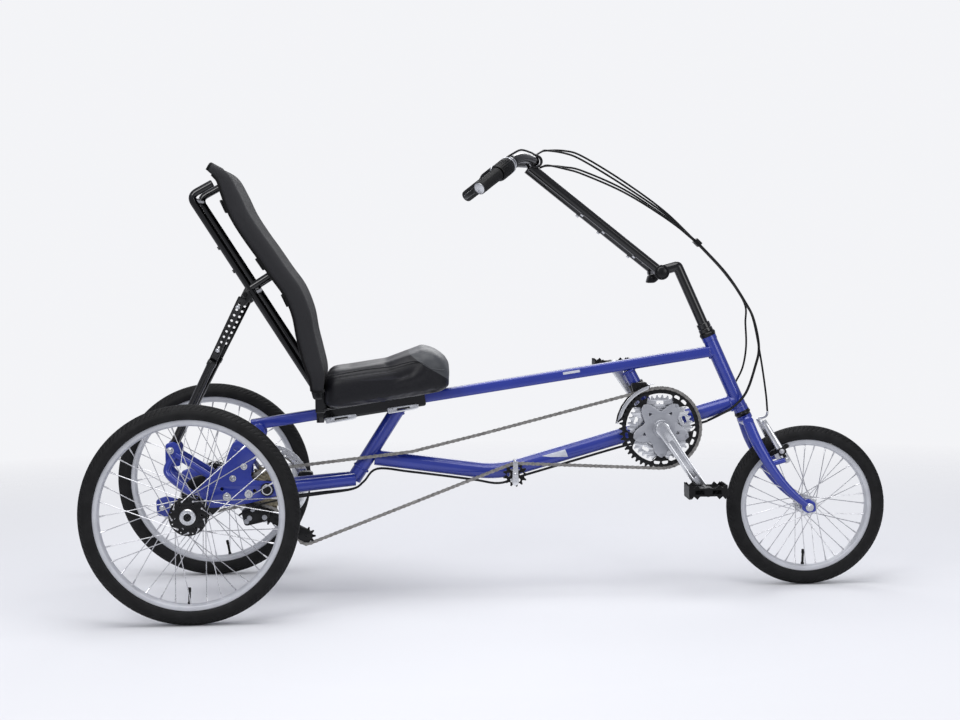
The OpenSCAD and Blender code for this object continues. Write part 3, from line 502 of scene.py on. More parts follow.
rearMiddle = {"right": middleOf("rear_tyre_right"), "left": middleOf("rear_tyre_left")}
frontMiddle = middleOf("front_tyre")
rearRadius = (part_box("rear_tyre_right")[1][0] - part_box("rear_tyre_right")[0][0]) / 2
frontRadius = (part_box("front_tyre")[1][0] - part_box("front_tyre")[0][0]) / 2
tyreSpec = {"half": 0.022, "bead": radians(119), "groove": 0.0011, "edge": 0.0008}


# r = R - h + h cos(a), y = h sin(a), with h cut down in the grooves; a runs from bead to bead
def tyrePart(centre, radius, blocks):
    t, a = np.meshgrid(angles(blocks * 6), np.linspace(-tyreSpec["bead"], tyreSpec["bead"], 61),
                       indexing="ij")
    lean = np.abs(a)
    rings = sum(np.exp(-((lean - radians(k)) / 0.035) ** 2) for k in (9, 27))
    slant = np.sin(blocks * t + np.sign(a) * 9 * lean)
    shoulder = (slant > 0.45) * (lean > radians(33)) * (lean < radians(62))
    crown = (np.sin(blocks * t + np.sign(a) * 14 * lean) > 0.6) * (lean > radians(11)) * (lean < radians(25))
    wall = sum(np.exp(-((lean - radians(k)) / 0.02) ** 2) for k in (72, 98, 104))
    cut = tyreSpec["groove"] * np.clip(rings + shoulder + crown, 0, 1) + tyreSpec["edge"] * 0.5 * wall
    h = tyreSpec["half"] - cut
    r = radius - tyreSpec["half"] + h * np.cos(a)
    points = np.asarray(centre) + np.stack([r * np.cos(t), h * np.sin(a), r * np.sin(t)], -1)
    return points.reshape(-1, 3), gridFaces(*t.shape, True, True)


rimSpec = {"drop": 0.033, "deep": 0.015, "half": 0.0125, "spokes": 36, "spoke": 0.00105}


# Rim section as (radius, y) pairs: hooked edges, flat brake tracks and a narrower inner wall
def rimPart(centre, outer):
    deep, half = rimSpec["deep"], rimSpec["half"]
    side = np.array([[outer - 0.0035, half - 0.0032], [outer - 0.001, half - 0.0026], [outer, half - 0.001],
                     [outer - 0.001, half], [outer - 0.0095, half], [outer - 0.0102, half - 0.0007],
                     [outer - 0.0112, half - 0.0009], [outer - deep + 0.0012, 0.0072],
                     [outer - deep, 0.0052]])
    section = np.vstack([side, side[::-1] * [1, -1]])
    return lathe(section, centre, yDir, 160, True)


# Spoke k leaves the flange 60 degrees ahead of or behind the place where it meets the rim
def spokeParts(centre, inner, flangeRadius, flangeHalf):
    k = np.arange(rimSpec["spokes"])
    side = np.where(k % 2 == 0, 1, -1)
    trailing = np.where(k // 2 % 2 == 0, 1, -1)
    a = k * 2 * pi / rimSpec["spokes"]
    lace = a + trailing * pi / 3
    hubEnd = np.stack([flangeRadius * np.cos(lace), side * (flangeHalf + trailing * 0.0024),
                       flangeRadius * np.sin(lace)], -1)
    rimEnd = np.stack([inner * np.cos(a), side * 0.003, inner * np.sin(a)], -1)
    along = unit(rimEnd - hubEnd)
    hubEnd, rimEnd = hubEnd + centre, rimEnd + centre
    spokes = rods(hubEnd, rimEnd, rimSpec["spoke"], 7)
    nipples = rods(rimEnd - 0.013 * along, rimEnd + 0.001 * along, 0.0015, 8, 0.0022)
    heads = rods(hubEnd - 0.001 * yDir, hubEnd + 0.001 * yDir, 0.0024, 8)
    return [spokes, nipples, heads]


def valveParts(centre, inner, a):
    out = centred(cos(a), sin(a))
    at = np.asarray(centre) + inner * out
    return [lathe([[0, 0.002], [0.0042, 0.002], [0.0042, -0.003], [0.003, -0.006], [0.003, -0.026],
                   [0.0038, -0.027], [0.0038, -0.036], [0.003, -0.037], [0, -0.037]], at, out, 20)]


def wheel(name, body, centre, radius, node, flangeRadius, flangeHalf, blocks, valveAngle):
    outer = radius - rimSpec["drop"]
    inner = outer - rimSpec["deep"]
    piece(name + "Tyre", [tyrePart(centre, radius, blocks)], tyreRubber, body, (node.format("tyre"),), 24)
    piece(name + "Rim", [rimPart(centre, outer)], rimAlloy, body, (node.format("rim"),), 30)
    piece(name + "Spokes", spokeParts(centre, inner, flangeRadius, flangeHalf), spokeSteel, body)
    piece(name + "Valve", valveParts(centre, inner, valveAngle), blackPlastic, body)


wheel("front", "front_wheel", frontMiddle, frontRadius, "front_{}", 0.019, 0.03, 100, radians(-93))
for side in ("right", "left"):
    wheel(side + "Rear", "rear_wheel_" + side, rearMiddle[side], rearRadius, "rear_{}_" + side,
          0.036, 0.028, 126, radians(-91 if side == "right" else -80))

# Front hub: slim barrel, two flanges, cones and track nuts
frontHub = {"axle": 0.0049, "end": 0.058}
c = frontMiddle
hubHalf = np.array([[0.0092, 0], [0.01, 0.022], [0.015, 0.028], [0.0232, 0.0287], [0.0232, 0.0313],
                    [0.0165, 0.0316], [0.0165, 0.0318], [0.0115, 0.0325], [0.0115, 0.0355], [0, 0.0355]])
piece("frontHubShell", [lathe(np.vstack([hubHalf[:0:-1] * [1, -1], hubHalf]), c)],
      brightAlloy, "front_wheel", ("front_hub",))
piece("frontAxle", [disc(c, frontHub["axle"], -frontHub["end"], frontHub["end"])]
      + bothSides([disc(c, 0.0085, 0.0358, 0.0405, steps=24), disc(c, 0.0078, 0.0415, 0.0445, steps=6)]),
      spokeSteel, "front_wheel")
piece("frontAxleNuts", bothSides([disc(c, 0.0098, 0.0532, 0.0548), disc(c, 0.0078, 0.0548, 0.0575, steps=6)]),
      brightAlloy, "steering")

# Rear hubs: wide black flanges with holes for the spokes, and a bright cap outside
rearHub = {"flange": 0.043, "half": 0.028}
for side, way in (("right", -1), ("left", 1)):
    c = rearMiddle[side]
    shell = [[0, -0.036], [0.0155, -0.036], [0.0155, -0.031], [0.024, -0.03], [0.024, -0.026],
             [0.0205, -0.02],
             [0.0205, 0.02], [0.024, 0.026], [0.024, 0.03], [0.018, 0.0312], [0.018, 0.037],
             [0.0165, 0.0385], [0, 0.0385]]
    hole = np.linspace(0, 2 * pi, 19)[:-1] + radians(5)
    flange = [ringPoints(rearHub["flange"], 96)] + holesAt(0.0385 * np.c_[np.cos(hole), np.sin(hole)], 0.0014,
                                                           8)
    flange += holesAt(0.0305 * np.c_[np.cos(hole[::3]), np.sin(hole[::3])], 0.003, 14)
    piece(side + "RearHub", [lathe(shell, c, yDir * way)]
          + [plate(flange, 0.003, c + yDir * k * rearHub["half"]) for k in (-1, 1)],
          darkMetal, "rear_wheel_" + side, ("rear_hub_" + side,))
    piece(side + "HubCap", [lathe([[0.0088, 0.0375], [0.0178, 0.0375], [0.0178, 0.0405], [0.0162, 0.042],
                                   [0.0105, 0.042], [0.01, 0.0432], [0.0088, 0.0432]], c, yDir * way,
                                  closed=True)],
          brightAlloy, "rear_wheel_" + side)
    piece(side + "HubBolt", [lathe([[0, 0.038], [0.009, 0.038], [0.0088, 0.0415], [0.004, 0.0424],
                                    [0.0036, 0.04], [0, 0.04]], c, yDir * way, 24)],
          darkMetal, "rear_wheel_" + side)
print("stage: wheels")

# Frame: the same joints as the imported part's frame
headLow = centred(0.603, 0.428)
headAngle = radians(23.5)
steerDir = centred(-sin(headAngle), cos(headAngle))
headTop = headLow + 0.2 * steerDir
bracket = centred(0.397, 0.394)
jackshaft = centred(-0.548, 0.265)
rearAxle = centred(rearMiddle["right"][0], rearMiddle["right"][2])
stayTop, stayLow = centred(-0.23, 0.452), centred(-0.342, 0.28)
strutTop = centred(0.327, 0.532)
topFront, topRear = centred(0.534, 0.575), centred(-0.585, 0.416)
lowerPath = [[0.586, 0, 0.449], [0.008, 0, 0.289], [-0.29, 0, 0.332]]

piece("lowerTube", [tube(lowerPath, 0.0189, 0.05, 40),
                    weld([0.575, 0, 0.446], [0.578, 0, 0.16], 0.0185)], bluePaint, "frame", ("lower_tube",))
topAhead = unit(topFront - topRear)
topLine = np.vstack([topRear, topRear + 0.0012 * topAhead, topFront + 0.001 * topAhead])
piece("topTube", [sweep(topLine, boxSection(0.026, 0.032, 0.006), scale=[0.92, 1, 1])],
      bluePaint, "frame", ("top_tube",))
piece("headTube", [collar(headLow, 0.017, 0.0145, 0, 0.2, steerDir),
                   collar(headLow, 0.0182, 0.0145, 0, 0.012, steerDir),
                   collar(headLow, 0.0182, 0.0145, 0.188, 0.2, steerDir),
                   weld(headTop - 0.0415 * steerDir - 0.015 * xDir, topAhead, 0.0165, 0.002)],
      bluePaint, "frame", ("head_tube",))
cup = [[0.0128, 0], [0.0188, 0], [0.0188, 0.0025], [0.0199, 0.004], [0.0199, 0.0072], [0.0185, 0.0085],
       [0.0178, 0.011], [0.0128, 0.011]]
piece("headsetCups", [lathe(cup, headTop, steerDir, closed=True),
                      lathe(cup, headLow, -steerDir, closed=True)],
      darkMetal, "frame", ("headset",))
piece("seatStay", [tube([stayTop + [0.006, 0, 0.009], stayLow], 0.0178, 0.01, 40),
                   weld(stayTop - [0.004, 0, 0.006], stayTop - stayLow, 0.018),
                   weld(stayLow + [0.0185, 0, 0.028], stayTop - stayLow, 0.018)],
      bluePaint, "frame", ("seat_stay",))
shellOutline = [[0.0195, -0.034], [0.0208, -0.034], [0.021, -0.0335], [0.021, 0.0335], [0.0208, 0.034],
                [0.0195, 0.034]]
piece("bracketShell", [lathe([[0.016, -0.034]] + shellOutline + [[0.016, 0.034]], bracket, closed=True),
                       tube([strutTop, bracket + 0.018 * unit(strutTop - bracket)], 0.0148, 0.01, 36),
                       weld(strutTop + 0.004 * unit(bracket - strutTop), bracket - strutTop, 0.015),
                       weld(bracket + 0.019 * xDir, xDir, 0.0185)],
      bluePaint, "frame", ("bottom_bracket",))
piece("bracketCups", bothSides([lathe([[0.0085, 0.0335], [0.0198, 0.0335], [0.0198, 0.0362], [0.0185, 0.0372],
                                       [0.0085, 0.0372]], bracket, closed=True)]), darkMetal, "frame")
stayPath = [[-0.338, 0.027, 0.282], [-0.515, 0.042, 0.267]]
piece("rearStays", bothSides([tube(stayPath, 0.0149, 0.03, 36), weld([-0.513, 0.042, 0.2672], xDir, 0.0145)]),
      bluePaint, "frame", ("rear_stays",))

# Drive plates with their slots, bolts and washers
plateSpec = {"y": 0.045, "thick": 0.006, "bend": 0.011,
             "outline": [[-0.626, 0.382], [-0.606, 0.384], [-0.578, 0.42], [-0.558, 0.424], [-0.548, 0.396],
                         [-0.572, 0.338], [-0.585, 0.322], [-0.585, 0.288], [-0.562, 0.286], [-0.516, 0.282],
                         [-0.516, 0.251], [-0.56, 0.24], [-0.592, 0.232], [-0.677, 0.223], [-0.7, 0.226],
                         [-0.728, 0.238], [-0.734, 0.262], [-0.705, 0.272], [-0.693, 0.296], [-0.648, 0.322],
                         [-0.64, 0.35]],
             "slots": [[-0.622, 0.364], [-0.604, 0.366], [-0.568, 0.404]],
             "bolts": [[-0.644, 0.249], [-0.592, 0.255], [-0.602, 0.321], [-0.629, 0.293]]}
outline = rounded(plateSpec["outline"], plateSpec["bend"])
openings = holesAt(plateSpec["slots"], 0.004) + holesAt([[-0.655, 0.268], [-0.578, 0.262]], 0.0045)
for side, way in (("right", -1), ("left", 1)):
    at = np.array([0, way * plateSpec["y"], 0])
    piece(side + "DrivePlate", [plate([outline] + openings, plateSpec["thick"], at, ease=0.001)],
          bluePaint, "frame", ("drive_plates",) if side == "right" else ())
heads = bothSides(bolts([[x, plateSpec["y"] + 0.003, z] for x, z in plateSpec["bolts"]], yDir, 0.0055))
washers = [disc([x, way * (plateSpec["y"] + 0.0035), z], 0.01, -0.0008, 0.0008, steps=32)
           for x, z in plateSpec["bolts"][:2] for way in (-1, 1)]
shaftRing = [collar(jackshaft, 0.0128, 0.0098, -0.06, -0.057)]
piece("plateBolts", heads + washers + shaftRing, brightAlloy, "frame")
spacers = [disc([x, 0, z], 0.007, -0.042, 0.042, steps=24) for x, z in plateSpec["bolts"][2:]]
bearings = [collar(jackshaft, 0.0215, 0.0082, way * 0.044 - 0.0035, way * 0.044 + 0.0035) for way in (-1, 1)]
piece("plateSpacers", spacers + bearings, darkMetal, "frame")

# Bent tubes behind the axle, with the cheeks that hold the recline pin
loopPath = [[-0.768, 0.041, 0.348], [-0.788, 0.043, 0.316], [-0.777, 0.05, 0.298], [-0.722, 0.062, 0.256]]
cheek = rounded([[-0.788, 0.324], [-0.752, 0.324], [-0.752, 0.37], [-0.766, 0.384], [-0.788, 0.378]],
                  0.008)
loopPin = centred(-0.776, 0.362)
piece("rearLoop", bothSides([tube(loopPath, 0.009, 0.02, 24),
                             tube([[-0.764, 0.042, 0.352], [-0.684, 0.047, 0.3]], 0.008, 0.01, 24),
                             plate([cheek], 0.006, [0, 0.039, 0], ease=0.0008)])
      + [plate([rounded([[-0.037, 0.326], [0.037, 0.326], [0.037, 0.344], [-0.037, 0.344]], 0.004)],
               0.005, [-0.7855, 0, 0], yDir, zDir)],
      bluePaint, "frame", ("rear_loop",))
piece("loopPinBolt", [disc(loopPin, 0.0046, -0.044, 0.044, steps=20)]
      + bothSides(bolt(loopPin + 0.042 * yDir, yDir, 0.006)),
      brightAlloy, "frame")

# Axle housings with their bearing collars and the lugs behind their outer ends
housing = {"in": 0.034, "out": 0.3085, "radius": 0.0188}
lug = rounded([[-0.746, 0.236], [-0.782, 0.24], [-0.784, 0.276], [-0.762, 0.284], [-0.7, 0.268],
                 [-0.7, 0.228]], 0.007)
lugHole = holesAt([[-0.77, 0.258]], 0.0033)
housingWall = [[0.0082, housing["in"]], [0.0182, housing["in"]], [housing["radius"], 0.035],
               [housing["radius"], housing["out"] - 0.001], [0.018, housing["out"]], [0.0082, housing["out"]]]
piece("axleHousings", bothSides([lathe(housingWall, rearAxle, closed=True),
                                 weld(rearAxle + 0.0492 * yDir, yDir, 0.0188),
                                 plate([lug] + lugHole, 0.008, [0, 0.2905, 0], ease=0.001)]),
      bluePaint, "frame", ("axle_housing",))
piece("housingSeals", bothSides([collar(rearAxle, 0.0165, 0.0082, 0.308, 0.3125),
                                 collar(rearAxle, 0.0205, 0.0186, 0.0365, 0.0405)]), darkMetal, "frame")
# Pale slash on both sides of the lower tube: a patch of the tube's surface between four corners
# given as (x, angle up from the side), and a small label on the top tube
slash = {"radius": 0.0193, "corners": ((0.1149, 30), (0.1335, 6), (0.1735, -28), (0.172, 28))}
(xa, pa), (xb, pb), (xc, pc), (xd, pd) = slash["corners"]
u, v = np.meshgrid(np.linspace(0, 1, 17), np.linspace(0, 1, 13), indexing="ij")
x = (1 - u) * ((1 - v) * xa + v * xb) + u * ((1 - v) * xd + v * xc)
p = np.radians((1 - u) * ((1 - v) * pa + v * pb) + u * ((1 - v) * pd + v * pc))
lowerRise = (lowerPath[0][2] - lowerPath[1][2]) / (lowerPath[0][0] - lowerPath[1][0])
layers = [np.stack([x - r * lowerRise * np.sin(p), r * np.cos(p),
                    lowerPath[1][2] + (x - lowerPath[1][0]) * lowerRise + r * np.sin(p)], -1)
          for r in (slash["radius"], slash["radius"] - 0.0006)]
loop = np.concatenate([layers[0], layers[1][:, ::-1]], 1)
slashPart = (loop.reshape(-1, 3), gridFaces(17, 26, False, True) + [list(range(26)),
                                                                    list(range(16 * 26, 17 * 26))])
label = rounded([[0.167, 0.5275], [0.208, 0.5333], [0.207, 0.5393], [0.166, 0.5335]], 0.0015, 4)
piece("paleMarks", bothSides([slashPart, plate([label - [0, 0.0035]], 0.0007, [0, 0.0161, 0], ease=0.0001)]),
      whiteStripe, "frame")
print("stage: frame tubes")

# Drive: sprockets, chains, derailleurs

chainSpec = {"pitch": 0.0127, "mainY": -0.052, "cassetteY": -0.0184, "rearY": 0.012,
             "ringRadius": 0.097, "pulley": 0.02, "idler": 0.027,
             "small": 0.033, "large": 0.045}
idler = centred(0.045, 0.289)
upperPulley, lowerPulley = centred(-0.543, 0.198), centred(-0.458, 0.147)
mainDiscs = [[bracket[0], bracket[2], chainSpec["mainY"], chainSpec["ringRadius"], 1],
             [-0.036, 0.386, -0.038, 0, 1], [-0.201, 0.347, -0.032, 0, 1],
             [jackshaft[0], jackshaft[2], chainSpec["cassetteY"], 0.044, 1],
             [upperPulley[0], upperPulley[2], chainSpec["cassetteY"], chainSpec["pulley"], -1],
             [lowerPulley[0], lowerPulley[2], chainSpec["cassetteY"], chainSpec["pulley"], 1],
             [idler[0], idler[2], chainSpec["mainY"], chainSpec["idler"], -1]]
rearDiscs = [[jackshaft[0], jackshaft[2], chainSpec["rearY"], chainSpec["small"], 1],
             [rearAxle[0], rearAxle[2], chainSpec["rearY"], chainSpec["large"], 1]]


# A belt round discs (x, z, y, radius, turn): straight runs touch both discs, arcs lie on each
def beltPath(discs):
    path = []
    normals = []
    for a, b in zip(discs, discs[1:] + discs[:1]):
        reach = np.hypot(b[0] - a[0], b[1] - a[1])
        normals.append(np.arctan2(b[1] - a[1], b[0] - a[0]) + np.arccos((b[4] * b[3] - a[4] * a[3]) / reach))
    for i, d in enumerate(discs):
        start, end = normals[i - 1], normals[i]
        sweepBy = (end - start) % (2 * pi) if d[4] > 0 else -((start - end) % (2 * pi))
        sweepBy = sweepBy if d[3] > 0 else 0
        t = start + np.linspace(0, 1, 25 if d[3] > 0 else 1) * sweepBy
        path.append(np.c_[d[0] - d[4] * d[3] * np.cos(t), np.full(len(t), d[2]),
                          d[1] - d[4] * d[3] * np.sin(t)])
    return np.vstack(path)


# Chain: link k lies between pins k and k + 1; even links have their plates outside odd ones
def chainParts(discs, name):
    path = beltPath(discs)
    loop = np.vstack([path, path[:1]])
    length = np.linalg.norm(np.diff(loop, axis=0), axis=1).sum()
    count = int(round(length / chainSpec["pitch"] / 2)) * 2
    pins = evenly(path, count, True)
    after = np.roll(pins, -1, 0)
    ahead = unit(after - pins)
    across = unit(yDir - ahead * ahead[:, 1:2])
    up = np.cross(ahead, across)
    step = np.linalg.norm(after - pins, axis=1).mean()
    t = radians(45) * np.arange(-2, 3)
    nose = np.c_[step / 2 + 0.0041 * np.cos(t), 0.0041 * np.sin(t)]
    figure = np.vstack([nose, [[0, 0.003]], -nose, [[0, -0.003]]])
    m = len(figure)
    parts = []
    for first, gap, thick in ((0, 0.0024, 0.001), (1, 0.0012, 0.001)):
        mid = ((pins + after) / 2)[first::2]
        axes = ahead[first::2], across[first::2], up[first::2]
        for way in (-1, 1):
            layers = [mid[:, None] + figure[None, :, :1] * axes[0][:, None] + figure[None, :,
                                                                                     1:] * axes[2][:, None]
                      + way * y * axes[1][:, None] for y in (gap, gap + thick)]
            points = np.concatenate(layers, 1).reshape(-1, 3)
            j = np.arange(m)
            one = np.stack([j, (j + 1) % m, (j + 1) % m + m, j + m], -1).tolist() + [j.tolist(),
                                                                                     (j + m).tolist()]
            parts.append((points, [[i + k * 2 * m for i in face] for k in range(len(mid)) for face in one]))
    rollers = rods(pins - 0.0012 * across, pins + 0.0012 * across, 0.0038, 10)
    rivets = rods(pins - 0.0038 * across, pins + 0.0038 * across, 0.0017, 8)
    print("chain", name, "links", count)
    return parts + [rollers, rivets]


piece("driveChain", chainParts(mainDiscs, "main"), chainSteel, "frame", ("drive_chain",), merge=False)
piece("rearChain", chainParts(rearDiscs, "rear"), chainSteel, "frame", ("rear_chain",), merge=False)

rib = np.array([[0.0492, 0], [0.05, 0.0006], [0.05, 0.002], [0.048, 0.0026]])
ribs = np.vstack([rib + [0, 0.0037 * k] for k in range(7)])
piece("axleDrum", [lathe(np.vstack([[[0.022, -0.022], [0.047, -0.022]], ribs + [0, -0.0215],
                                    [[0.047, 0.004], [0.022, 0.004]]]), rearAxle, steps=96, closed=True),
                   collar(rearAxle, 0.0218, 0.0075, -0.0335, 0.0335),
                   plate([toothed(22, chainSpec["large"])] + holesAt(ringPoints(0.033, 6), 0.006),
                         0.0022, rearAxle + chainSpec["rearY"] * yDir)],
      darkMetal, "frame", ("axle_sprocket",))

cassetteSpec = {"first": -0.0076, "step": 0.0054, "teeth": (26, 24, 22, 18, 16, 14, 12)}
cogs = []
for k, teeth in enumerate(cassetteSpec["teeth"]):
    pitchRadius = teeth * chainSpec["pitch"] / (2 * pi)
    y = cassetteSpec["first"] - k * cassetteSpec["step"]
    windows = holesAt(ringPoints(pitchRadius * 0.66, 7), pitchRadius * 0.14) if k < 3 else []
    cogs.append(plate([toothed(teeth, pitchRadius, 0.0032, 0.0038)] + windows, 0.0019, jackshaft + y * yDir))
piece("cassetteCogs", cogs + [plate([toothed(16, chainSpec["small"])], 0.0022,
                                    jackshaft + chainSpec["rearY"] * yDir)],
      goldSteel, "frame", ("cassette",))
piece("cassetteCore", [disc(jackshaft, 0.0195, -0.0415, 0.02), disc(jackshaft, 0.0078, -0.059, 0.085),
                       collar(jackshaft, 0.016, 0.0078, -0.0545, -0.049),
                       lathe([[0.0078, -0.054], [0.0125, -0.054], [0.0125, -0.0575], [0.0105, -0.0585],
                              [0.0078, -0.0585]], jackshaft, steps=6, closed=True)], darkMetal, "frame")

discSpec = {"y": 0.069, "outer": 0.096, "inner": 0.072, "thick": 0.002}
t = angles(36)
holes = [p for k in range(3) for p in
         holesAt((0.078 + 0.006 * k) * np.c_[np.cos(t[k::3]), np.sin(t[k::3])], 0.0021, 10)]
inner = ringPoints(discSpec["inner"], 72)
arms = [plate([rounded([[0.02, -0.007], [0.075, -0.002], [0.075, 0.008], [0.02, 0.007]], 0.003, 4)],
              0.0022, jackshaft + discSpec["y"] * yDir, [cos(a), 0, sin(a)], [-sin(a), 0, cos(a)])
        for a in angles(6)]
piece("brakeDisc", [plate([ringPoints(discSpec["outer"], 96), inner] + holes, discSpec["thick"],
                          jackshaft + discSpec["y"] * yDir)] + arms
      + [collar(jackshaft, 0.0255, 0.0082, 0.063, 0.075)], brightAlloy, "frame", ("brake_disc",))
calliper = rounded([[-0.478, 0.264], [-0.442, 0.264], [-0.442, 0.294], [-0.478, 0.294]], 0.009)
piece("brakeCalliper", [plate([calliper], 0.009, [0, way * 0.0075 + 0.072, 0], ease=0.002) for way in (-1, 1)]
      + bolt([-0.46, 0.0815, 0.279], yDir, 0.004), darkMetal, "frame")

cageOut, cageIn = chainSpec["cassetteY"] - 0.0058, chainSpec["cassetteY"] + 0.0058
cage = rounded([[-0.553, 0.19], [-0.545, 0.21], [-0.532, 0.205], [-0.445, 0.158], [-0.446, 0.138],
                  [-0.466, 0.134]], 0.008)
window = rounded([[-0.527, 0.192], [-0.52, 0.196], [-0.478, 0.169], [-0.482, 0.162]], 0.003, 4)
pulleys = [plate([toothed(10, chainSpec["pulley"], 0.0028, 0.0045)]
                 + holesAt(ringPoints(0.0095, 5), 0.0026), 0.0024, p + chainSpec["cassetteY"] * yDir)
           for p in (upperPulley, lowerPulley)]
piece("derailleurPins", bolts([[x, cageOut - 0.0175, z] for x, z in ((-0.599, 0.188), (-0.584, 0.217),
                                                                     (-0.556, 0.197))], -yDir, 0.0042)
      + [disc([-0.592, 0, 0.196], 0.0062, cageOut - 0.0195, cageOut - 0.017, steps=24)], greyAlloy, "frame")
piece("lugBolts", bothSides(bolts([[-0.77, 0.2946, 0.258], [-0.748, 0.2946, 0.262]], yDir, 0.0044)),
      brightAlloy, "frame")
piece("derailleurPulleys", pulleys, blackPlastic, "frame", ("rear_derailleur",))
body = rounded([[-0.612, 0.214], [-0.588, 0.228], [-0.566, 0.226], [-0.54, 0.208], [-0.548, 0.188],
                  [-0.604, 0.176]], 0.009, 6)
knuckle = rounded([[-0.604, 0.236], [-0.59, 0.24], [-0.574, 0.222], [-0.592, 0.204]], 0.006)
piece("derailleurCage", [plate([cage, window], 0.0022, [0, y, 0]) for y in (cageOut - 0.002, cageIn + 0.002)]
      + [plate([body], 0.013, [0, cageOut - 0.011, 0], ease=0.003),
         plate([knuckle], 0.008, [0, cageOut - 0.013, 0])]
      + bolts([p + (cageOut - 0.003) * yDir for p in (upperPulley, lowerPulley)], -yDir, 0.0035),
      darkMetal, "frame")

clampAxis = unit(bracket - strutTop)
clampAt = strutTop + 0.045 * clampAxis


def arcStrip(r0, r1, a0, a1):  # a strip between two radii round the bracket, from angle a0 to a1
    t = np.radians(np.linspace(a0, a1, 19))
    ring = np.c_[np.cos(t), np.sin(t)]
    return rounded(np.vstack([r1 * ring, r0 * ring[::-1]])[::3], 0.002, 3)


piece("frontChangerCage", [plate([arcStrip(0.099, 0.1075, 104, 170)], 0.0014, bracket - 0.062 * yDir,
                                 ease=0.0004),
                           tube([bracket + [-0.1045, -0.0625, 0.0155], bracket + [-0.1045, -0.042, 0.0155]],
                                0.0022,
                                0.001, 10, xDir),
                           plate([boxSection(0.016, 0.0014, 0.0005)], 0.022,
                                 bracket + [-0.0225, -0.0522, 0.1062],
                                 unit([1, 0, 0.15]), unit([-0.15, 0, 1]), 0.0003)],
      brightAlloy, "frame", ("front_derailleur",))
piece("frontChangerInner", [plate([arcStrip(0.09, 0.1085, 102, 174)], 0.0014, bracket - 0.0425 * yDir,
                                  ease=0.0004)], darkMetal, "frame")
link = rounded([[0.328, 0.503], [0.368, 0.505], [0.366, 0.486], [0.334, 0.478]], 0.007)
piece("frontChanger", [collar(clampAt, 0.0195, 0.015, -0.01, 0.01, clampAxis),
                       plate([link], 0.018, [0, -0.032, 0], ease=0.002)]
      + bolt([0.35, -0.0415, 0.492], -yDir, 0.004) + bolt([0.338, -0.0415, 0.486], -yDir, 0.003),
      darkMetal, "frame")

piece("idlerWheel", [plate([toothed(13, chainSpec["idler"], 0.0026, 0.0042)]
                           + holesAt(ringPoints(0.0155, 6), 0.0048), 0.0026,
                           idler + chainSpec["mainY"] * yDir),
                     disc(idler, 0.0085, -0.058, -0.046, steps=32)], blackPlastic, "frame", ("chain_idler",))
idlerArm = rounded([[0.033, 0.274], [0.045, 0.262], [0.057, 0.274], [0.057, 0.3], [0.033, 0.3]], 0.006)
guard = rounded([[0.037, 0.268], [0.045, 0.262], [0.053, 0.268], [0.051, 0.322], [0.04, 0.322]], 0.004)
piece("idlerBracket", [plate([idlerArm], 0.005, [0, -0.0245, 0], ease=0.001),
                       plate([guard], 0.003, [0, -0.061, 0], ease=0.0008),
                       disc([0.0455, 0, 0.32], 0.003, -0.062, -0.018, steps=20),
                       disc(idler, 0.0048, -0.064, -0.024, steps=24)]
      + bolt(idler - 0.0625 * yDir, -yDir, 0.0042), brightAlloy, "frame")

# Cranks and chainrings
pedalTurn, crankLength, crankY = radians(-56.7), 0.17, 0.084
pedalRight = bracket + crankLength * centred(cos(pedalTurn), sin(pedalTurn))
pedalLeft = 2 * bracket - pedalRight
ringSpec = {"teeth": 48, "y": -0.052, "middleY": -0.0445, "innerY": -0.039, "arms": 5}
armTurn = angles(ringSpec["arms"]) + radians(54)
boltCircle = 0.066 * np.c_[np.cos(armTurn), np.sin(armTurn)]
t = angles(240)
lobe = np.clip(np.cos(5 * (t - armTurn[0])), 0, 1)
round2 = np.c_[np.cos(t), np.sin(t)]
ringInner = (0.0835 - 0.0215 * lobe[:, None] ** 1.6) * round2
lobeHoles = [rounded([[0.0805 * cos(a - 0.1), 0.0805 * sin(a - 0.1)],
                      [0.0875 * cos(a - 0.07), 0.0875 * sin(a - 0.07)],
                        [0.0875 * cos(a + 0.07), 0.0875 * sin(a + 0.07)],
                      [0.0805 * cos(a + 0.1), 0.0805 * sin(a + 0.1)]],
                       0.003, 4) for b in armTurn for a in (b - 0.12, b + 0.12)]
piece("outerRing", [plate([toothed(ringSpec["teeth"], chainSpec["ringRadius"]), ringInner] + lobeHoles,
                          0.0028, bracket + ringSpec["y"] * yDir)], darkMetal, "crankset", ("chainrings",))
middleHoles = [rounded([[r * cos(a), r * sin(a)] for r,
                        a in ((0.058, b - 0.16), (0.066, b - 0.13), (0.066, b + 0.13),
                                                               (0.058, b + 0.16))], 0.003, 4)
               for b in angles(10) + radians(18)]
piece("middleRing", [plate([toothed(38, 0.0768, 0.003), ringPoints(0.048, 72)] + middleHoles, 0.0026,
                           bracket + ringSpec["middleY"] * yDir),
                     plate([toothed(28, 0.0566, 0.003), ringPoints(0.036, 60)], 0.0024,
                           bracket + ringSpec["innerY"] * yDir)], brightAlloy, "crankset")
spiderEdge = (0.0555 + 0.014 * np.cos(5 * (t - armTurn[0]))[:, None]) * round2
slots = [rounded([[r * cos(a), r * sin(a)] for r, a in ((0.04, b - 0.13), (0.048, b), (0.04, b + 0.13))],
                 0.003, 4)
         for b in armTurn[[0, 1, 2, 4]] + 0.02]
piece("spider", [plate([spiderEdge] + slots, 0.0045, bracket - 0.0572 * yDir, ease=0.0012),
                 lathe([[0, -0.061], [0.026, -0.0606], [0.036, -0.0592], [0.036, -0.056], [0, -0.056]],
                       bracket),
                 disc(bracket, 0.0215, -0.0765, -0.04, ease=0.0015)]
      + bolts([bracket + [x, -0.0592, z] for x, z in boltCircle], -yDir, 0.0032),
      greyAlloy, "crankset")


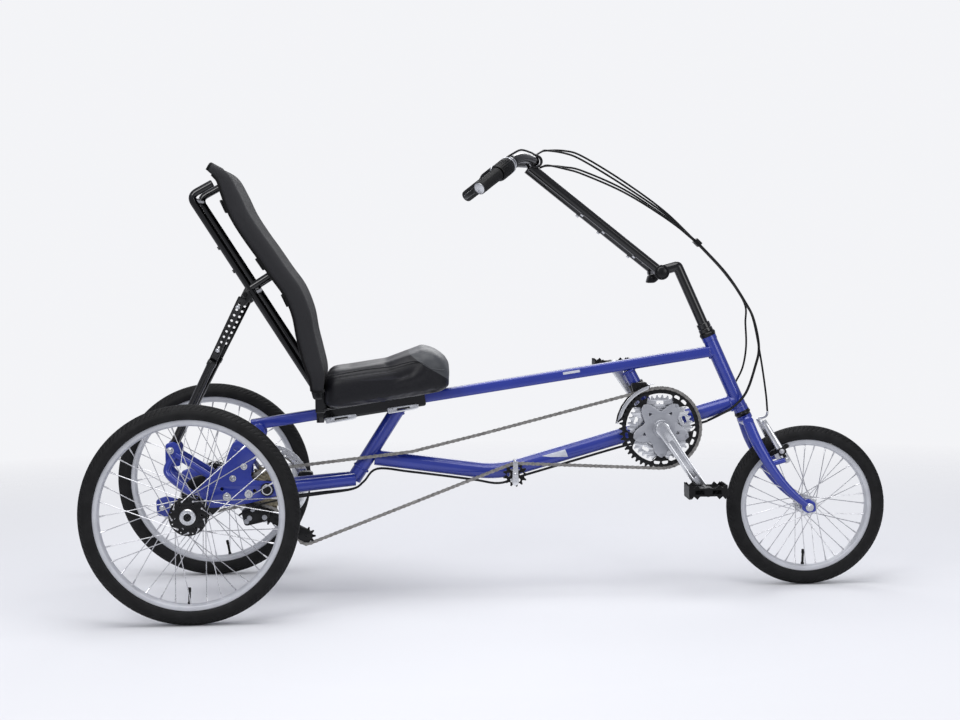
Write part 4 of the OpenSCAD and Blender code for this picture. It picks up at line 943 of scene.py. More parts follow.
# Crank outline: two end circles joined by sides that narrow towards the middle; the outer
# layer has a long window, so a shallow channel runs down the arm
def crankParts(end, y, way):
    run = end - bracket
    length = np.linalg.norm(run)
    t = np.linspace(radians(62), radians(298), 21)
    hubEnd = 0.017 * np.c_[np.cos(t), np.sin(t)]
    pedalEnd = 0.015 * np.c_[np.cos(t - pi), np.sin(t - pi)] + [length, 0]
    low, high = [[0.05, -0.0132], [0.105, -0.0122]], [[0.105, 0.0122], [0.05, 0.0132]]
    outline = np.vstack([hubEnd, low, pedalEnd, high])
    channel = rounded([[0.034, -0.0052], [0.14, -0.0046], [0.14, 0.0046], [0.034, 0.0052]], 0.0045, 6)
    axes = (run, np.cross(yDir, unit(run)))
    return [plate([outline], 0.011, bracket + (y - way * 0.0015) * yDir, *axes, 0.003),
            plate([outline, channel], 0.005, bracket + (y + way * 0.0043) * yDir, *axes, 0.0018)]


piece("rightCrank", crankParts(pedalRight, -crankY, -1) + [disc(bracket, 0.0088, -0.077, 0.077, steps=32)],
      brightAlloy, "crankset", ("crank_right",))
piece("leftCrank", crankParts(pedalLeft, crankY, 1), brightAlloy, "crankset", ("crank_left",))
piece("crankCaps", [lathe([[0, way * 0.0905], [0.0085, way * 0.0905], [0.0085, way * 0.0916],
                           [0.003, way * 0.0918],
                           [0, way * 0.0914]], bracket) for way in (-1, 1)], greyAlloy, "crankset")


# Pedal: a moulded body round a turned barrel, between toothed cage plates at its front and back
def pedal(name, at, way, node, body):
    mid = at + way * 0.141 * yDir
    frameOutline = rounded([[-0.043, -0.034], [-0.036, -0.039], [0.036, -0.039], [0.043, -0.034],
                              [0.043, 0.034], [0.036, 0.039], [-0.036, 0.039], [-0.043, 0.034]], 0.005, 4)
    holes = [rounded(np.array([[-0.01, -0.031], [0.01, -0.031], [0.01, 0.031], [-0.01, 0.031]])
                       + [x, 0], 0.004, 4) for x in (-0.025, 0.025)]
    k = np.arange(9)
    topEdge = np.c_[np.repeat(-0.038 + k * 0.0095, 2), np.tile([0.0105, 0.0165], 9)]
    comb = np.vstack([topEdge, (topEdge * [1, -1])[::-1]])
    sideComb = np.vstack([[[-0.046, -0.008], [-0.046, 0.008], [-0.04, 0.017], [-0.034, 0.01], [-0.026, 0.017],
                           [-0.02, 0.01], [0.02, 0.01], [0.026, 0.017], [0.034, 0.01], [0.04, 0.017],
                           [0.046, 0.008], [0.046, -0.008], [0.04, -0.017], [0.034, -0.01], [0.026, -0.017],
                           [0.02, -0.01], [-0.02, -0.01], [-0.026, -0.017], [-0.034, -0.01],
                           [-0.04, -0.017]]])
    piece(name, [plate([frameOutline] + holes, 0.014, mid, xDir, yDir, 0.002)]
          + [plate([comb], 0.0035, mid + [x, 0, 0], yDir, zDir, 0.0006) for x in (-0.044, 0.044)]
          + [plate([sideComb], 0.004, mid + [0, way * y, 0], xDir, zDir, 0.0008) for y in (-0.037, 0.037)]
          + [lathe([[0, 0.1], [0.0105, 0.1], [0.0115, 0.102], [0.0095, 0.108], [0.0095, 0.172],
                    [0.0115, 0.176], [0.01, 0.1805], [0, 0.181]], at, way * yDir, 32)],
          blackPlastic, body, (node,))
    piece(name + "Axle", [disc(at, 0.0068, 0.078, 0.101, way * yDir, 24),
                          disc(at, 0.0088, 0.092, 0.0975, way * yDir, 6)],
          spokeSteel, body)


pedal("rightPedal", pedalRight, -1, "pedal_right", "right_pedal")
pedal("leftPedal", pedalLeft, 1, "pedal_left", "left_pedal")
print("stage: drive")

# Seat base: a pan on a saddle over the top tube, with the upright that carries the back
slope = np.arctan2(topFront[2] - topRear[2], topFront[0] - topRear[0])
tubeUp = centred(-sin(slope), cos(slope))


def onTube(x, lift=0.0, y=0.0):  # a point beside the top tube's centre line, lifted square to it
    return topRear + (x - topRear[0]) / topAhead[0] * topAhead + lift * tubeUp + y * yDir


baseSpec = {"rear": -0.412, "long": 0.246, "wide": 0.22}
panAt = onTube(baseSpec["rear"] + baseSpec["long"] / 2, 0.016)
pan = boxSection(baseSpec["long"], baseSpec["wide"], 0.018, 6)
saddle = rounded([[-0.123, -0.019], [0.123, -0.019], [0.123, 0.014], [-0.123, 0.014]], 0.006)
saddleAt = onTube(baseSpec["rear"] + baseSpec["long"] / 2)
upright = rounded([[-0.428, 0.452], [-0.404, 0.452], [-0.404, 0.496], [-0.414, 0.502], [-0.428, 0.502]],
                  0.004, 4)
piece("seatPan", [plate([pan], 0.004, panAt, topAhead, yDir, 0.0012)]
      + bothSides([plate([saddle], 0.005, saddleAt + 0.0212 * yDir, topAhead, tubeUp, 0.001),
                   plate([upright], 0.006, [0, 0.099, 0], ease=0.001)])
      + [plate([boxSection(0.204, 0.024, 0.004)], 0.006, [-0.416, 0, 0.453], yDir, xDir, 0.001),
         plate([boxSection(0.056, 0.018, 0.003)], 0.033, [-0.419, 0, 0.4365], yDir, xDir, 0.001)],
      blackPaint, "frame", ("seat_base",))


# Clamp levers: a slotted flat handle beside its pivot
leverOutline = rounded([[-0.004, -0.0075], [0.06, -0.007], [0.071, -0.005], [0.071, 0.0055], [0.06, 0.0065],
                          [-0.004, 0.0075]], 0.004)
leverSlot = rounded([[0.018, -0.0028], [0.05, -0.0028], [0.05, 0.0028], [0.018, 0.0028]], 0.002, 4)


def leverParts(x):
    return [plate([leverOutline, leverSlot], 0.004, onTube(x, -0.0165, 0.0285), topAhead, tubeUp, 0.001),
            disc(onTube(x + 0.004, -0.0165), 0.0058, 0.0225, 0.0325, steps=24)]


piece("seatLevers", bothSides([p for x in (-0.405, -0.256) for p in leverParts(x)]), brightAlloy, "frame",
      ("seat_levers",))

# Cushion: a superellipse section whose height follows the side profile, pulled in at the corners
cushionSpec = {"half": 0.158, "square": 5.5, "ends": 11.0, "swell": 0.005, "shrink": 0.003, "voxel": 0.005,
               "pressure": 4.0, "stiffness": 12, "frames": 20,
               "stations": [-0.41, -0.4, -0.385, -0.342, -0.303, -0.27, -0.249, -0.234, -0.22, -0.196, -0.163,
                            -0.142, -0.126, -0.111, -0.104],
               "top": [0.54, 0.547, 0.552, 0.558, 0.563, 0.567, 0.571, 0.577, 0.584, 0.594, 0.6, 0.596, 0.583,
                       0.56, 0.545],
               "low": [0.458, 0.4595, 0.462, 0.469, 0.4745, 0.479, 0.482, 0.4842, 0.486, 0.4893, 0.4935,
                       0.4965, 0.4985, 0.5005, 0.5015],
               "seam": ((-0.397, 0.538), (-0.37, 0.543), (-0.306, 0.553), (-0.25, 0.559), (-0.215, 0.567),
                        (-0.19, 0.571), (-0.172, 0.565), (-0.154, 0.553), (-0.132, 0.549), (-0.122, 0.548))}


def cushionPart(shrink=0.0):
    u = np.linspace(0, pi, 61)
    v = angles(96)

    def bent(w, square):  # the cosine or sine of a superellipse
        return np.sign(w) * np.abs(w) ** (2 / square)

    low, high = cushionSpec["stations"][0], cushionSpec["stations"][-1]
    x = (low + high) / 2 - (high - low - 2 * shrink) / 2 * bent(np.cos(u), cushionSpec["ends"])
    top = np.interp(x, cushionSpec["stations"], cushionSpec["top"]) - shrink
    base = np.interp(x, cushionSpec["stations"], cushionSpec["low"]) + shrink * 0.4
    squeeze = bent(np.sin(u), cushionSpec["ends"])
    nose = np.clip((x + 0.21) / 0.1, 0, 1)
    half = (cushionSpec["half"] - shrink) * (1 - 0.12 * nose ** 2) * squeeze
    y = half[:, None] * bent(np.cos(v), cushionSpec["square"])
    tall = (top - base) / 2 * squeeze
    z = ((top + base) / 2)[:, None] + tall[:, None] * np.where(
        np.sin(v) < 0, bent(np.sin(v), cushionSpec["ends"]), bent(np.sin(v), cushionSpec["square"]))
    side = np.clip(np.abs(y) / 0.155, 0, 1)
    dish = 0.012 * np.exp(-((x + 0.31) / 0.07) ** 2)[:, None] * np.exp(-(y / 0.085) ** 2)
    crown = np.where(np.sin(v) > 0, 0.007 * side ** 4 + dish, 0)
    points = np.stack([np.broadcast_to(x[:, None], y.shape), y, z - crown], -1)
    return points.reshape(-1, 3), gridFaces(len(u), len(v), False, True)


# Cloth under pressure from inside; no point ends further from its start than the swell
def inflate(obj):
    remesh = obj.modifiers.new("remesh", "REMESH")
    remesh.mode, remesh.voxel_size = "VOXEL", cushionSpec["voxel"]
    bpy.context.view_layer.objects.active = obj
    bpy.ops.object.modifier_apply(modifier="remesh")
    start = np.empty(len(obj.data.vertices) * 3)
    obj.data.vertices.foreach_get("co", start)
    cloth = obj.modifiers.new("cloth", "CLOTH")
    cloth.settings.use_pressure = True
    cloth.settings.uniform_pressure_force = cushionSpec["pressure"]
    cloth.settings.effector_weights.gravity = 0
    cloth.settings.tension_stiffness = cloth.settings.compression_stiffness = cushionSpec["stiffness"]
    cloth.point_cache.frame_start, cloth.point_cache.frame_end = 1, cushionSpec["frames"]
    for number in range(1, cushionSpec["frames"] + 1):
        scene.frame_set(number)
    evaluated = obj.evaluated_get(bpy.context.evaluated_depsgraph_get()).data
    grown = np.empty(len(evaluated.vertices) * 3)
    evaluated.vertices.foreach_get("co", grown)
    obj.modifiers.remove(cloth)
    scene.frame_set(1)
    move = (grown - start).reshape(-1, 3)
    far = np.linalg.norm(move, axis=1, keepdims=True)
    move *= np.minimum(1, cushionSpec["swell"] / np.maximum(far, 1e-9))
    obj.data.vertices.foreach_set("co", (start.reshape(-1, 3) + move).ravel())
    obj.data.update()


cushion = piece("seatCushion", [cushionPart(cushionSpec["shrink"])], vinyl, "frame",
                ("seat_cushion",), 180)
inflate(cushion)
cushion.data.shade_smooth()
smoother = cushion.modifiers.new("subdivision", "SUBSURF")
smoother.levels = smoother.render_levels = 1
# Piping along the wave of the seam: at each station, the widest point of the cushion near that height
corners = np.empty(len(cushion.data.vertices) * 3)
cushion.data.vertices.foreach_get("co", corners)
corners = corners.reshape(-1, 3)
seamX, seamZ = smoothPath(cushionSpec["seam"], 4).T
near = np.hypot(corners[None, :, 0] - seamX[:, None], corners[None, :, 2] - seamZ[:, None]) < 0.009
seamY = np.where(near, corners[None, :, 1], 0).max(1)
seamY = np.convolve(np.r_[seamY[[0, 0]], seamY, seamY[[-1, -1]]], np.ones(5) / 5, "valid")
piece("cushionPiping", bothSides([tube(np.c_[seamX, seamY - 0.0004, seamZ], 0.0016, 0.0, 10, zDir)]), vinyl,
      "frame")
print("stage: seat cushion")

# Seat back frame: two rails, cross tubes, struts
railY = 0.125
railLow, railHigh, railTip = centred(-0.428, 0.512), centred(-0.709, 0.963), centred(-0.655, 0.992)
railDir = unit(railHigh - railLow)
railBack = centred(-railDir[2], railDir[0])
bossMid = railLow + 0.68 * (railHigh - railLow)
lugOutline = rounded([[-0.604, 0.712], [-0.588, 0.704], [-0.556, 0.736], [-0.58, 0.758]], 0.006)
for side, way in (("left", 1), ("right", -1)):
    off = way * railY * yDir
    bosses = [bossMid + off + k * 0.032 * railDir for k in (-1, 1)]
    parts = [tube([railLow + off, railHigh + off, railTip + off], 0.0089, 0.02, 28, ease=0.0015),
             tube([centred(-0.574, 0.747) + off, centred(-0.524, 0.778) + off], 0.0088, 0.01, 24),
             plate([lugOutline], 0.005, [0, way * 0.1295, 0], ease=0.001)]
    parts += [lathe([[0.0021, 0], [0.0045, 0], [0.0045, 0.0116], [0.004, 0.012], [0.0021, 0.012]], b,
                    railBack, 24, True) for b in bosses]
    piece(side + "SeatRail", parts, blackPaint, "frame", ("seat_rail_" + side,))
hinge = rounded([[-0.432, 0.482], [-0.41, 0.482], [-0.412, 0.516], [-0.442, 0.522]], 0.006)
piece("seatCrossTubes", [tube([p - 0.119 * yDir, p + 0.119 * yDir], 0.0079, 0.01, 24, xDir)
                         for p in (railHigh + [0.006, 0, -0.01], centred(-0.567, 0.736))]
      + [tube([[-0.421, -0.104, 0.49], [-0.421, 0.104, 0.49]], 0.0089, 0.01, 28, xDir)]
      + bothSides([plate([hinge], 0.007, [0, 0.108, 0], ease=0.001)]),
      blackPaint, "frame", ("seat_cross_tubes",))
piece("seatHingeBolts", bothSides(bolts([[-0.421, 0.1118, 0.492], [-0.584, 0.132, 0.732]], yDir, 0.004)),
      darkMetal, "frame")

strutSpec = {"high": (-0.592, 0.148, 0.722), "low": (-0.776, 0.016, 0.362), "split": 0.4, "holes": 9}
high, low = np.array(strutSpec["high"]), np.array(strutSpec["low"])
strutDir = unit(low - high)
face = unit(yDir - strutDir[1] * strutDir)
reach = np.linalg.norm(low - high)
bar = boxSection(reach * 0.42, 0.019, 0.003) + [reach * 0.21 - 0.004, 0]
barHoles = holesAt(np.c_[0.014 + 0.015 * np.arange(strutSpec["holes"]), np.zeros(strutSpec["holes"])], 0.0031,
                   16)
tipEnd = low - 0.008 * strutDir
strutParts = [plate([bar] + barHoles, 0.0032, high, strutDir, np.cross(face, strutDir), 0.0008),
              tube([high + strutSpec["split"] * reach * strutDir, tipEnd], 0.0098, 0.01, 28),
              collar(high + 0.42 * reach * strutDir, 0.0112, 0.009, -0.006, 0.006, strutDir),
              collar(low, 0.0118, 0.005, -0.009, 0.006)]
piece("leftStrut", strutParts, blackPaint, "frame", ("recline_strut_left",))
piece("rightStrut", [mirrored(p) for p in strutParts], blackPaint, "frame", ("recline_strut_right",))
piece("strutPins", bothSides(bolt(high + 0.0215 * strutDir + 0.0016 * face, face, 0.0034)
                             + bolt(high + 0.1415 * strutDir + 0.0016 * face, face, 0.0034)), brightAlloy,
      "frame")

# Sling back: front line of the side view, 400 mm across, dished, with lips that turn back at the sides
slingSpec = {"half": 0.198, "lip": 0.039, "dish": 0.02, "corner": 0.018,
             "line": [[-0.408, 0.505], [-0.405, 0.546], [-0.414, 0.592], [-0.425, 0.64], [-0.434, 0.692],
                      [-0.455, 0.747], [-0.487, 0.794], [-0.516, 0.838], [-0.545, 0.88], [-0.572, 0.924],
                      [-0.592, 0.968], [-0.617, 1.012], [-0.654, 1.035]]}
line = np.array(slingSpec["line"])
line3 = np.c_[line[:, 0], np.zeros(len(line)), line[:, 1]]
spine = evenly(smoothPath(line3, 6), 90)
spineAhead = unit(np.gradient(spine, axis=0))
spineBack = np.cross(spineAhead, yDir)
spineBack *= np.sign(-spineBack[:, :1])
half, lip, r = slingSpec["half"], slingSpec["lip"], slingSpec["corner"]
turn = np.linspace(0, pi / 2, 7)
acrossLine = np.vstack([np.c_[np.linspace(0, half - r, 26), np.zeros(26)],
                        np.c_[half - r + r * np.sin(turn[1:]), r - r * np.cos(turn[1:])],
                        [[half, r + (lip - r) * 0.5], [half, lip]]])
acrossLine = np.vstack([acrossLine[:0:-1] * [-1, 1], acrossLine])
s = np.linspace(0, 1, len(spine))
dishDepth = slingSpec["dish"] * np.sin(pi * s) ** 0.6
dished = dishDepth[:, None] * np.clip(1 - (acrossLine[None, :, 0] / (half - r)) ** 2, 0, 1) * 0.6
narrow = 1 - 0.07 * np.clip((s - 0.7) / 0.3, 0, 1) ** 2 - 0.05 * np.clip(1 - s / 0.1, 0, 1) ** 2
taper = 1 - 0.55 * np.clip((s - 0.8) / 0.2, 0, 1) ** 1.5 - 0.35 * np.clip(1 - s / 0.12, 0, 1)
slingPoints = (spine[:, None] + (acrossLine[None, :, :1] * narrow[:, None, None]) * yDir
               + (acrossLine[None, :, 1:] * taper[:, None, None] + dished[..., None]) * spineBack[:, None])
slingMesh = bpy.data.meshes.new("slingBack")
slingMesh.from_pydata(slingPoints.reshape(-1, 3).tolist(), [], gridFaces(*slingPoints.shape[:2]))
runU = np.r_[0, np.cumsum(np.linalg.norm(np.diff(acrossLine, axis=0), axis=1))]
runV = np.r_[0, np.cumsum(np.linalg.norm(np.diff(spine, axis=0), axis=1))]
uvOf = np.stack(np.broadcast_arrays(runU[None, :], runV[:, None]), -1).reshape(-1, 2)
loopVertex = np.empty(len(slingMesh.loops), int)
slingMesh.loops.foreach_get("vertex_index", loopVertex)
slingMesh.uv_layers.new(name="clothUV").data.foreach_set("uv", uvOf[loopVertex].ravel())
slingMesh.shade_smooth()


# Open mesh cloth: two families of threads in the cloth's own metres, dark holes between them
weaveSpec = {"threads": 150, "waver": 0.3, "dark": (0.006, 0.006, 0.007), "pale": (0.03, 0.03, 0.033),
             "relief": 0.0005}


def makeMeshCloth():
    material = bpy.data.materials.new("slingMesh")
    material.use_nodes = True
    nodes, links = material.node_tree.nodes, material.node_tree.links
    shader = nodes["Principled BSDF"]
    shader.inputs["Roughness"].default_value = 0.7
    shader.inputs["Sheen Weight"].default_value = 0.03
    shader.inputs["Specular IOR Level"].default_value = 0.15
    uv = nodes.new("ShaderNodeUVMap")
    uv.uv_map = "clothUV"
    waves = []
    for direction in ("X", "Y"):
        wave = nodes.new("ShaderNodeTexWave")
        wave.bands_direction = direction
        wave.inputs["Scale"].default_value = weaveSpec["threads"]
        wave.inputs["Distortion"].default_value = weaveSpec["waver"]
        links.new(uv.outputs["UV"], wave.inputs["Vector"])
        waves.append(wave)
    weave = nodes.new("ShaderNodeMath")
    weave.operation = "MAXIMUM"
    links.new(waves[0].outputs["Fac"], weave.inputs[0])
    links.new(waves[1].outputs["Fac"], weave.inputs[1])
    ramp = nodes.new("ShaderNodeValToRGB")
    ramp.color_ramp.elements[0].color = (*weaveSpec["dark"], 1)
    ramp.color_ramp.elements[1].color = (*weaveSpec["pale"], 1)
    links.new(weave.outputs["Value"], ramp.inputs["Fac"])
    links.new(ramp.outputs["Color"], shader.inputs["Base Color"])
    bumpNode = nodes.new("ShaderNodeBump")
    bumpNode.inputs["Distance"].default_value = weaveSpec["relief"]
    links.new(weave.outputs["Value"], bumpNode.inputs["Height"])
    links.new(bumpNode.outputs["Normal"], shader.inputs["Normal"])
    return material


slingMesh.materials.append(makeMeshCloth())
sling = bpy.data.objects.new("slingBack", slingMesh)
scene.collection.objects.link(sling)
wall = sling.modifiers.new("wall", "SOLIDIFY")
wall.thickness, wall.offset = 0.003, 0
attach(sling, "frame")
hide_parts("seat_back_mesh")

# Hoop inside the sling's edge, piping along its lips, and three straps with buckles behind
edgeIn = np.stack([spine + 0.014 * spineBack + way * (half - 0.013) * narrow[:, None] * yDir for way in (-1,
                                                                                                         1)])
hoop = np.vstack([edgeIn[0][2:-5], edgeIn[1][2:-5][::-1]])
piece("seatHoop", [tube(evenly(roundPath(hoop[::3], 0.02), 220), 0.0075, 0.0, 16, zDir * 0.2 + xDir)],
      blackPaint, "frame")
lipLine = [spine + (lip * taper)[:, None] * spineBack + way * half * narrow[:, None] * yDir for way in (-1,
                                                                                                        1)]
piece("slingPiping", [tube(p[::3], 0.0032, 0.005, 10, yDir) for p in lipLine]
      + [tube(slingPoints[k, ::2], 0.0034, 0.004, 10, spineAhead[k]) for k in (0, -1)], webbing, "frame")
strapParts, buckleParts = [], []
for k in [int(np.argmin(np.abs(spine[:, 2] - z))) for z in (0.735, 0.825, 0.955)]:
    across = np.linspace(-half + 0.004, half - 0.004, 25)
    bow = 0.004 * (1 - (across / half) ** 2)
    strapLine = spine[k] + (lip + 0.0015 + bow[:, None]) * spineBack[k] + across[:, None] * yDir
    strapParts.append(sweep(strapLine, boxSection(0.025, 0.0018, 0.0008, 3), spineBack[k]))
    for way in (-1, 1):
        at = spine[k] + (lip + 0.007) * spineBack[k] + way * 0.15 * yDir
        buckleParts.append(plate([boxSection(0.044, 0.032, 0.005),
                                  boxSection(0.006, 0.022, 0.002) + [0.009, 0],
                                  boxSection(0.006, 0.022, 0.002) + [-0.009, 0]], 0.005, at, yDir,
                                 spineAhead[k], 0.001))
piece("slingStraps", strapParts, webbing, "frame")
piece("strapBuckles", buckleParts, blackPlastic, "frame")
print("stage: seat back")

# Steering: fork, riser, mast and handlebar
crown = headLow - 0.023 * steerDir
bladePath = [crown + [0, 0.036, -0.003], [0.63, 0.045, 0.356], [0.657, 0.048, 0.306], [0.686, 0.05, 0.262],
             [0.718, 0.05, 0.227], [0.752, 0.05, 0.1985]]
dropout = rounded([[0.738, 0.19], [0.744, 0.212], [0.756, 0.216], [0.772, 0.206], [0.774, 0.184],
                   [0.752, 0.18]],
                    0.006)
piece("fork", [tube([crown, headLow - 0.012 * steerDir], 0.0186, 0.01, 36),
               tube([crown - 0.046 * yDir + [0, 0, -0.003], crown + 0.046 * yDir + [0, 0, -0.003]], 0.013,
                    0.01, 32,
                    zDir, ease=0.004)]
      + bothSides([tube(bladePath, (0.0118, 0.0122, 0.0112, 0.0098, 0.0084, 0.0068), 0.045, 32,
                        flat=(1.12, 0.86),
                        ease=0.002),
                   tube([[0.664, 0.048, 0.3], [0.703, 0.0455, 0.311]], 0.0062, 0.01, 20, ease=0.002),
                   plate([dropout] + holesAt([[frontMiddle[0], frontMiddle[2]]], 0.0051), 0.006, [0, 0.05, 0],
                         ease=0.001)]), bluePaint, "steering", ("fork",))
mastLow, mastTop = centred(0.402, 0.768), centred(0.095, 1.02)
mastDir = unit(mastTop - mastLow)
mastY = 0.056
piece("stemRiser", [tube([headTop + 0.0112 * steerDir, [0.449, 0, 0.782], mastLow + [0.008, 0, 0.004]],
                         0.0126, 0.005, 36),
                    collar(headTop, 0.0172, 0.0124, 0.0115, 0.02, steerDir),
                    collar(headTop, 0.0162, 0.0124, 0.0212, 0.034, steerDir)], blackPaint, "steering",
      ("stem_riser",))
clampFoot = rounded([[0.372, 0.742], [0.392, 0.742], [0.408, 0.756], [0.396, 0.764], [0.378, 0.762]], 0.005,
                    4)
piece("mastPivot", [lathe([[0, -0.0695], [0.0105, -0.0695], [0.012, -0.0685], [0.0145, -0.066],
                           [0.0145, 0.066],
                           [0.012, 0.0685], [0.0105, 0.0695], [0, 0.0695]], mastLow),
                    plate([clampFoot], 0.026, [0, 0, 0], ease=0.002)]
      + bothSides(bolt([0.384, 0.014, 0.752], yDir, 0.0042)),
      darkMetal, "steering", ("stem_clamp",))
mastSide = [tube([mastLow + mastY * yDir + 0.014 * mastDir, mastTop + mastY * yDir + 0.004 * mastDir], 0.0108,
                 0.01, 30),
            collar(mastLow + mastY * yDir, 0.018, 0.0147, -0.011, 0.011)]
guides = [mastLow + k * (mastTop - mastLow) + 0.0125 * np.cross(mastDir, yDir) for k in (0.19, 0.425, 0.59)]
piece("mastGuides", bothSides([disc(g + mastY * yDir, 0.0028, -0.004, 0.004, mastDir, 14) for g in guides]),
      brightAlloy, "handlebar_mast")
bridges = [mastLow + k * (mastTop - mastLow) for k in (0.1, 0.86)]
piece("mast", bothSides(mastSide) + [tube([b - 0.052 * yDir, b + 0.052 * yDir], 0.0062, 0.01, 20,
                                          xDir) for b in bridges],
      blackPaint, "handlebar_mast", ("mast",))
barMid, barBend, gripOut = centred(0.104,
                                   1.034), np.array([0.058, 0.162, 1.044]), np.array([-0.044, 0.306, 0.966])
gripDir = unit(barBend - gripOut)
barHalf = [barMid + 0.07 * yDir + 0.002 * zDir, barBend, gripOut + 0.004 * gripDir]
barBore = 0.0112
barPath = [p * [1, -1, 1] for p in barHalf[::-1]] + barHalf
piece("handlebar", [tube(barPath, 0.011, 0.045, 28, zDir)]
      + bothSides([collar(barMid + mastY * yDir + [0, 0, 0.0015], 0.0158, barBore, -0.014, 0.014)]),
      blackPaint, "handlebar_mast", ("handlebar",))


# Grip: rows of ribs, r = base + rib where the distance along falls on a ridge, with flutes round it
gripSpec = {"long": 0.084, "radius": 0.015, "shifter": 0.0855, "shifterLong": 0.048, "shifterRadius": 0.0198}


def gripPart():
    run = np.linspace(0, gripSpec["long"], 113)
    t = angles(48)
    shape = gripSpec["radius"] + 0.0022 * np.exp(-((run - gripSpec["long"] + 0.004) / 0.0032) ** 2)
    ridge = 0.0007 * (np.sin(run / 0.0036 * 2 * pi) > 0) * (run > 0.008) * (run < 0.072)
    flute = 0.0002 * np.cos(16 * t)
    r = shape[:, None] - 0.0003 + ridge[:, None] * (0.6 + 0.4 * np.cos(8 * t)[None, :]) + flute[None, :]
    r = np.vstack([np.full((1, 48), barBore), r, np.full((1, 48), barBore)])
    run = np.r_[run[0], run, run[-1]]
    e1 = unit(np.cross(gripDir, zDir))
    e2 = np.cross(gripDir, e1)
    points = (gripOut + run[:, None, None] * gripDir
              + r[..., None] * (np.cos(t)[None, :, None] * e1 + np.sin(t)[None, :, None] * e2))
    return points.reshape(-1, 3), gridFaces(len(run), 48, True, True)


piece("leftGrip", [gripPart()], gripRubber, "handlebar_mast", ("grip_left",), 30)
piece("rightGrip", [mirrored(gripPart())], gripRubber, "handlebar_mast", ("grip_right",), 30)
piece("barEnds", bothSides([lathe([[0, -0.0026], [0.01, -0.0032], [0.0132, -0.0018], [0.0135, 0.0004],
                                   [0, 0.0004]],
                                  gripOut, gripDir, 32)]), brightAlloy, "handlebar_mast")
shiftAt = gripOut + gripSpec["shifter"] * gripDir
wide, long = gripSpec["shifterRadius"], gripSpec["shifterLong"]
twist = lathe([[barBore, 0], [wide - 0.002, 0], [wide, 0.003], [wide - 0.0004, long / 2],
               [wide, long - 0.003],
               [wide - 0.0015, long], [barBore, long]], shiftAt, gripDir, 72, True)
side1 = unit(np.cross(gripDir, zDir))
t = angles(26)
ribFeet = shiftAt + (wide - 0.0004) * (np.cos(t)[:, None] * side1 + np.sin(t)[:, None] * np.cross(gripDir,
                                                                                                  side1))
piece("twistShifters", bothSides([twist, rods(ribFeet + 0.005 * gripDir, ribFeet + (long - 0.006) * gripDir,
                                              0.0011, 6)]),
      blackPlastic, "handlebar_mast", ("shifters",))
piece("shifterRings", bothSides([collar(shiftAt, wide + 0.0006, 0.015, long + 0.0002, long + 0.0046,
                                        gripDir)]),
      brightAlloy, "handlebar_mast")
leverAt = gripOut + 0.141 * gripDir
leverSide = unit(gripDir[1] * gripDir - yDir)
leverPath = [leverAt + 0.006 * gripDir + 0.034 * leverSide, leverAt - 0.02 * gripDir + 0.044 * leverSide,
             gripOut + 0.06 * gripDir + 0.046 * leverSide, gripOut + 0.03 * gripDir + 0.038 * leverSide]
outward = np.cross(gripDir, leverSide)
piece("leverBits", bothSides([disc(leverAt + 0.007 * gripDir + 0.026 * leverSide, 0.004, 0, 0.01, outward,
                                   20),
                              disc(leverAt + 0.007 * gripDir + 0.012 * leverSide, 0.004, 0.008, 0.02, gripDir,
                                   20),
                              collar(leverAt, 0.017, barBore, 0.0045, 0.0075, gripDir)]), brightAlloy,
      "handlebar_mast")
piece("brakeLevers", bothSides([collar(leverAt, 0.0165, barBore, 0, 0.015, gripDir),
                                tube([leverAt + 0.008 * gripDir, leverAt + 0.007 * gripDir + 0.02 * leverSide,
                                      leverAt + 0.006 * gripDir + 0.035 * leverSide], (0.01, 0.0088, 0.0076),
                                     0.01, 20,
                                     zDir, ease=0.002),
                                tube(smoothPath(leverPath, 6), 0.0062, 0.0, 18, leverSide, (1.0, 0.72),
                                     ease=0.001)]),
      darkMetal, "handlebar_mast", ("brake_levers",))

# Front brake: two arms on the fork, shoes at the rim, and the bent guide for the cable
armPath = [[0.703, 0.042, 0.309], [0.69, 0.041, 0.334], [0.671, 0.037, 0.368], [0.65, 0.034, 0.406]]
padTurn = radians(26)
padAt = frontMiddle + 0.153 * centred(-sin(padTurn), cos(padTurn))
padAlong = centred(cos(padTurn), sin(padTurn))
guide = [[0.669, 0.012, 0.424], [0.6685, 0.0125, 0.417], [0.666, 0.018, 0.411], [0.66, 0.026, 0.4075],
         [0.651, 0.033, 0.4055]]
piece("brakeArms", bothSides([tube(armPath, (0.0078, 0.0072, 0.0062, 0.005), 0.03, 24, flat=(1.25, 0.62),
                                   ease=0.0012),
                              disc([0.703, 0, 0.311], 0.0088, 0.0365, 0.0485, steps=32)]
                             + bolt([0.703, 0.0485, 0.311], yDir, 0.0046) + bolt([0.652, 0.0375, 0.402], yDir,
                                                                                 0.0036))
      + [tube(smoothPath(guide, 6), 0.0028, 0.0, 14, xDir),
         rods([[0.6505, -0.034, 0.4045]], [[0.6505, 0.033, 0.405]], 0.001, 8)],
      brightAlloy, "steering", ("front_brake",))
shoe = rounded([[-0.026, -0.005], [0.024, -0.005], [0.027, 0.0], [0.024, 0.005], [-0.026, 0.005]], 0.003, 4)
block = rounded([[-0.011, -0.008], [0.011, -0.008], [0.01, 0.009], [-0.009, 0.01]], 0.004, 4)
piece("brakeShoes", bothSides([plate([shoe], 0.0075, padAt + 0.0195 * yDir, padAlong,
                                     np.cross(yDir, padAlong), 0.001),
                               disc(padAt, 0.0036, 0.0225, 0.0475, steps=20),
                               plate([block], 0.007, padAt + 0.049 * yDir, padAlong, np.cross(yDir, padAlong),
                                     0.0015),
                               tube([[0.69, 0.049, 0.333], [0.7, 0.049, 0.317]], 0.0042, 0.002, 14)]),
      blackPlastic, "steering")
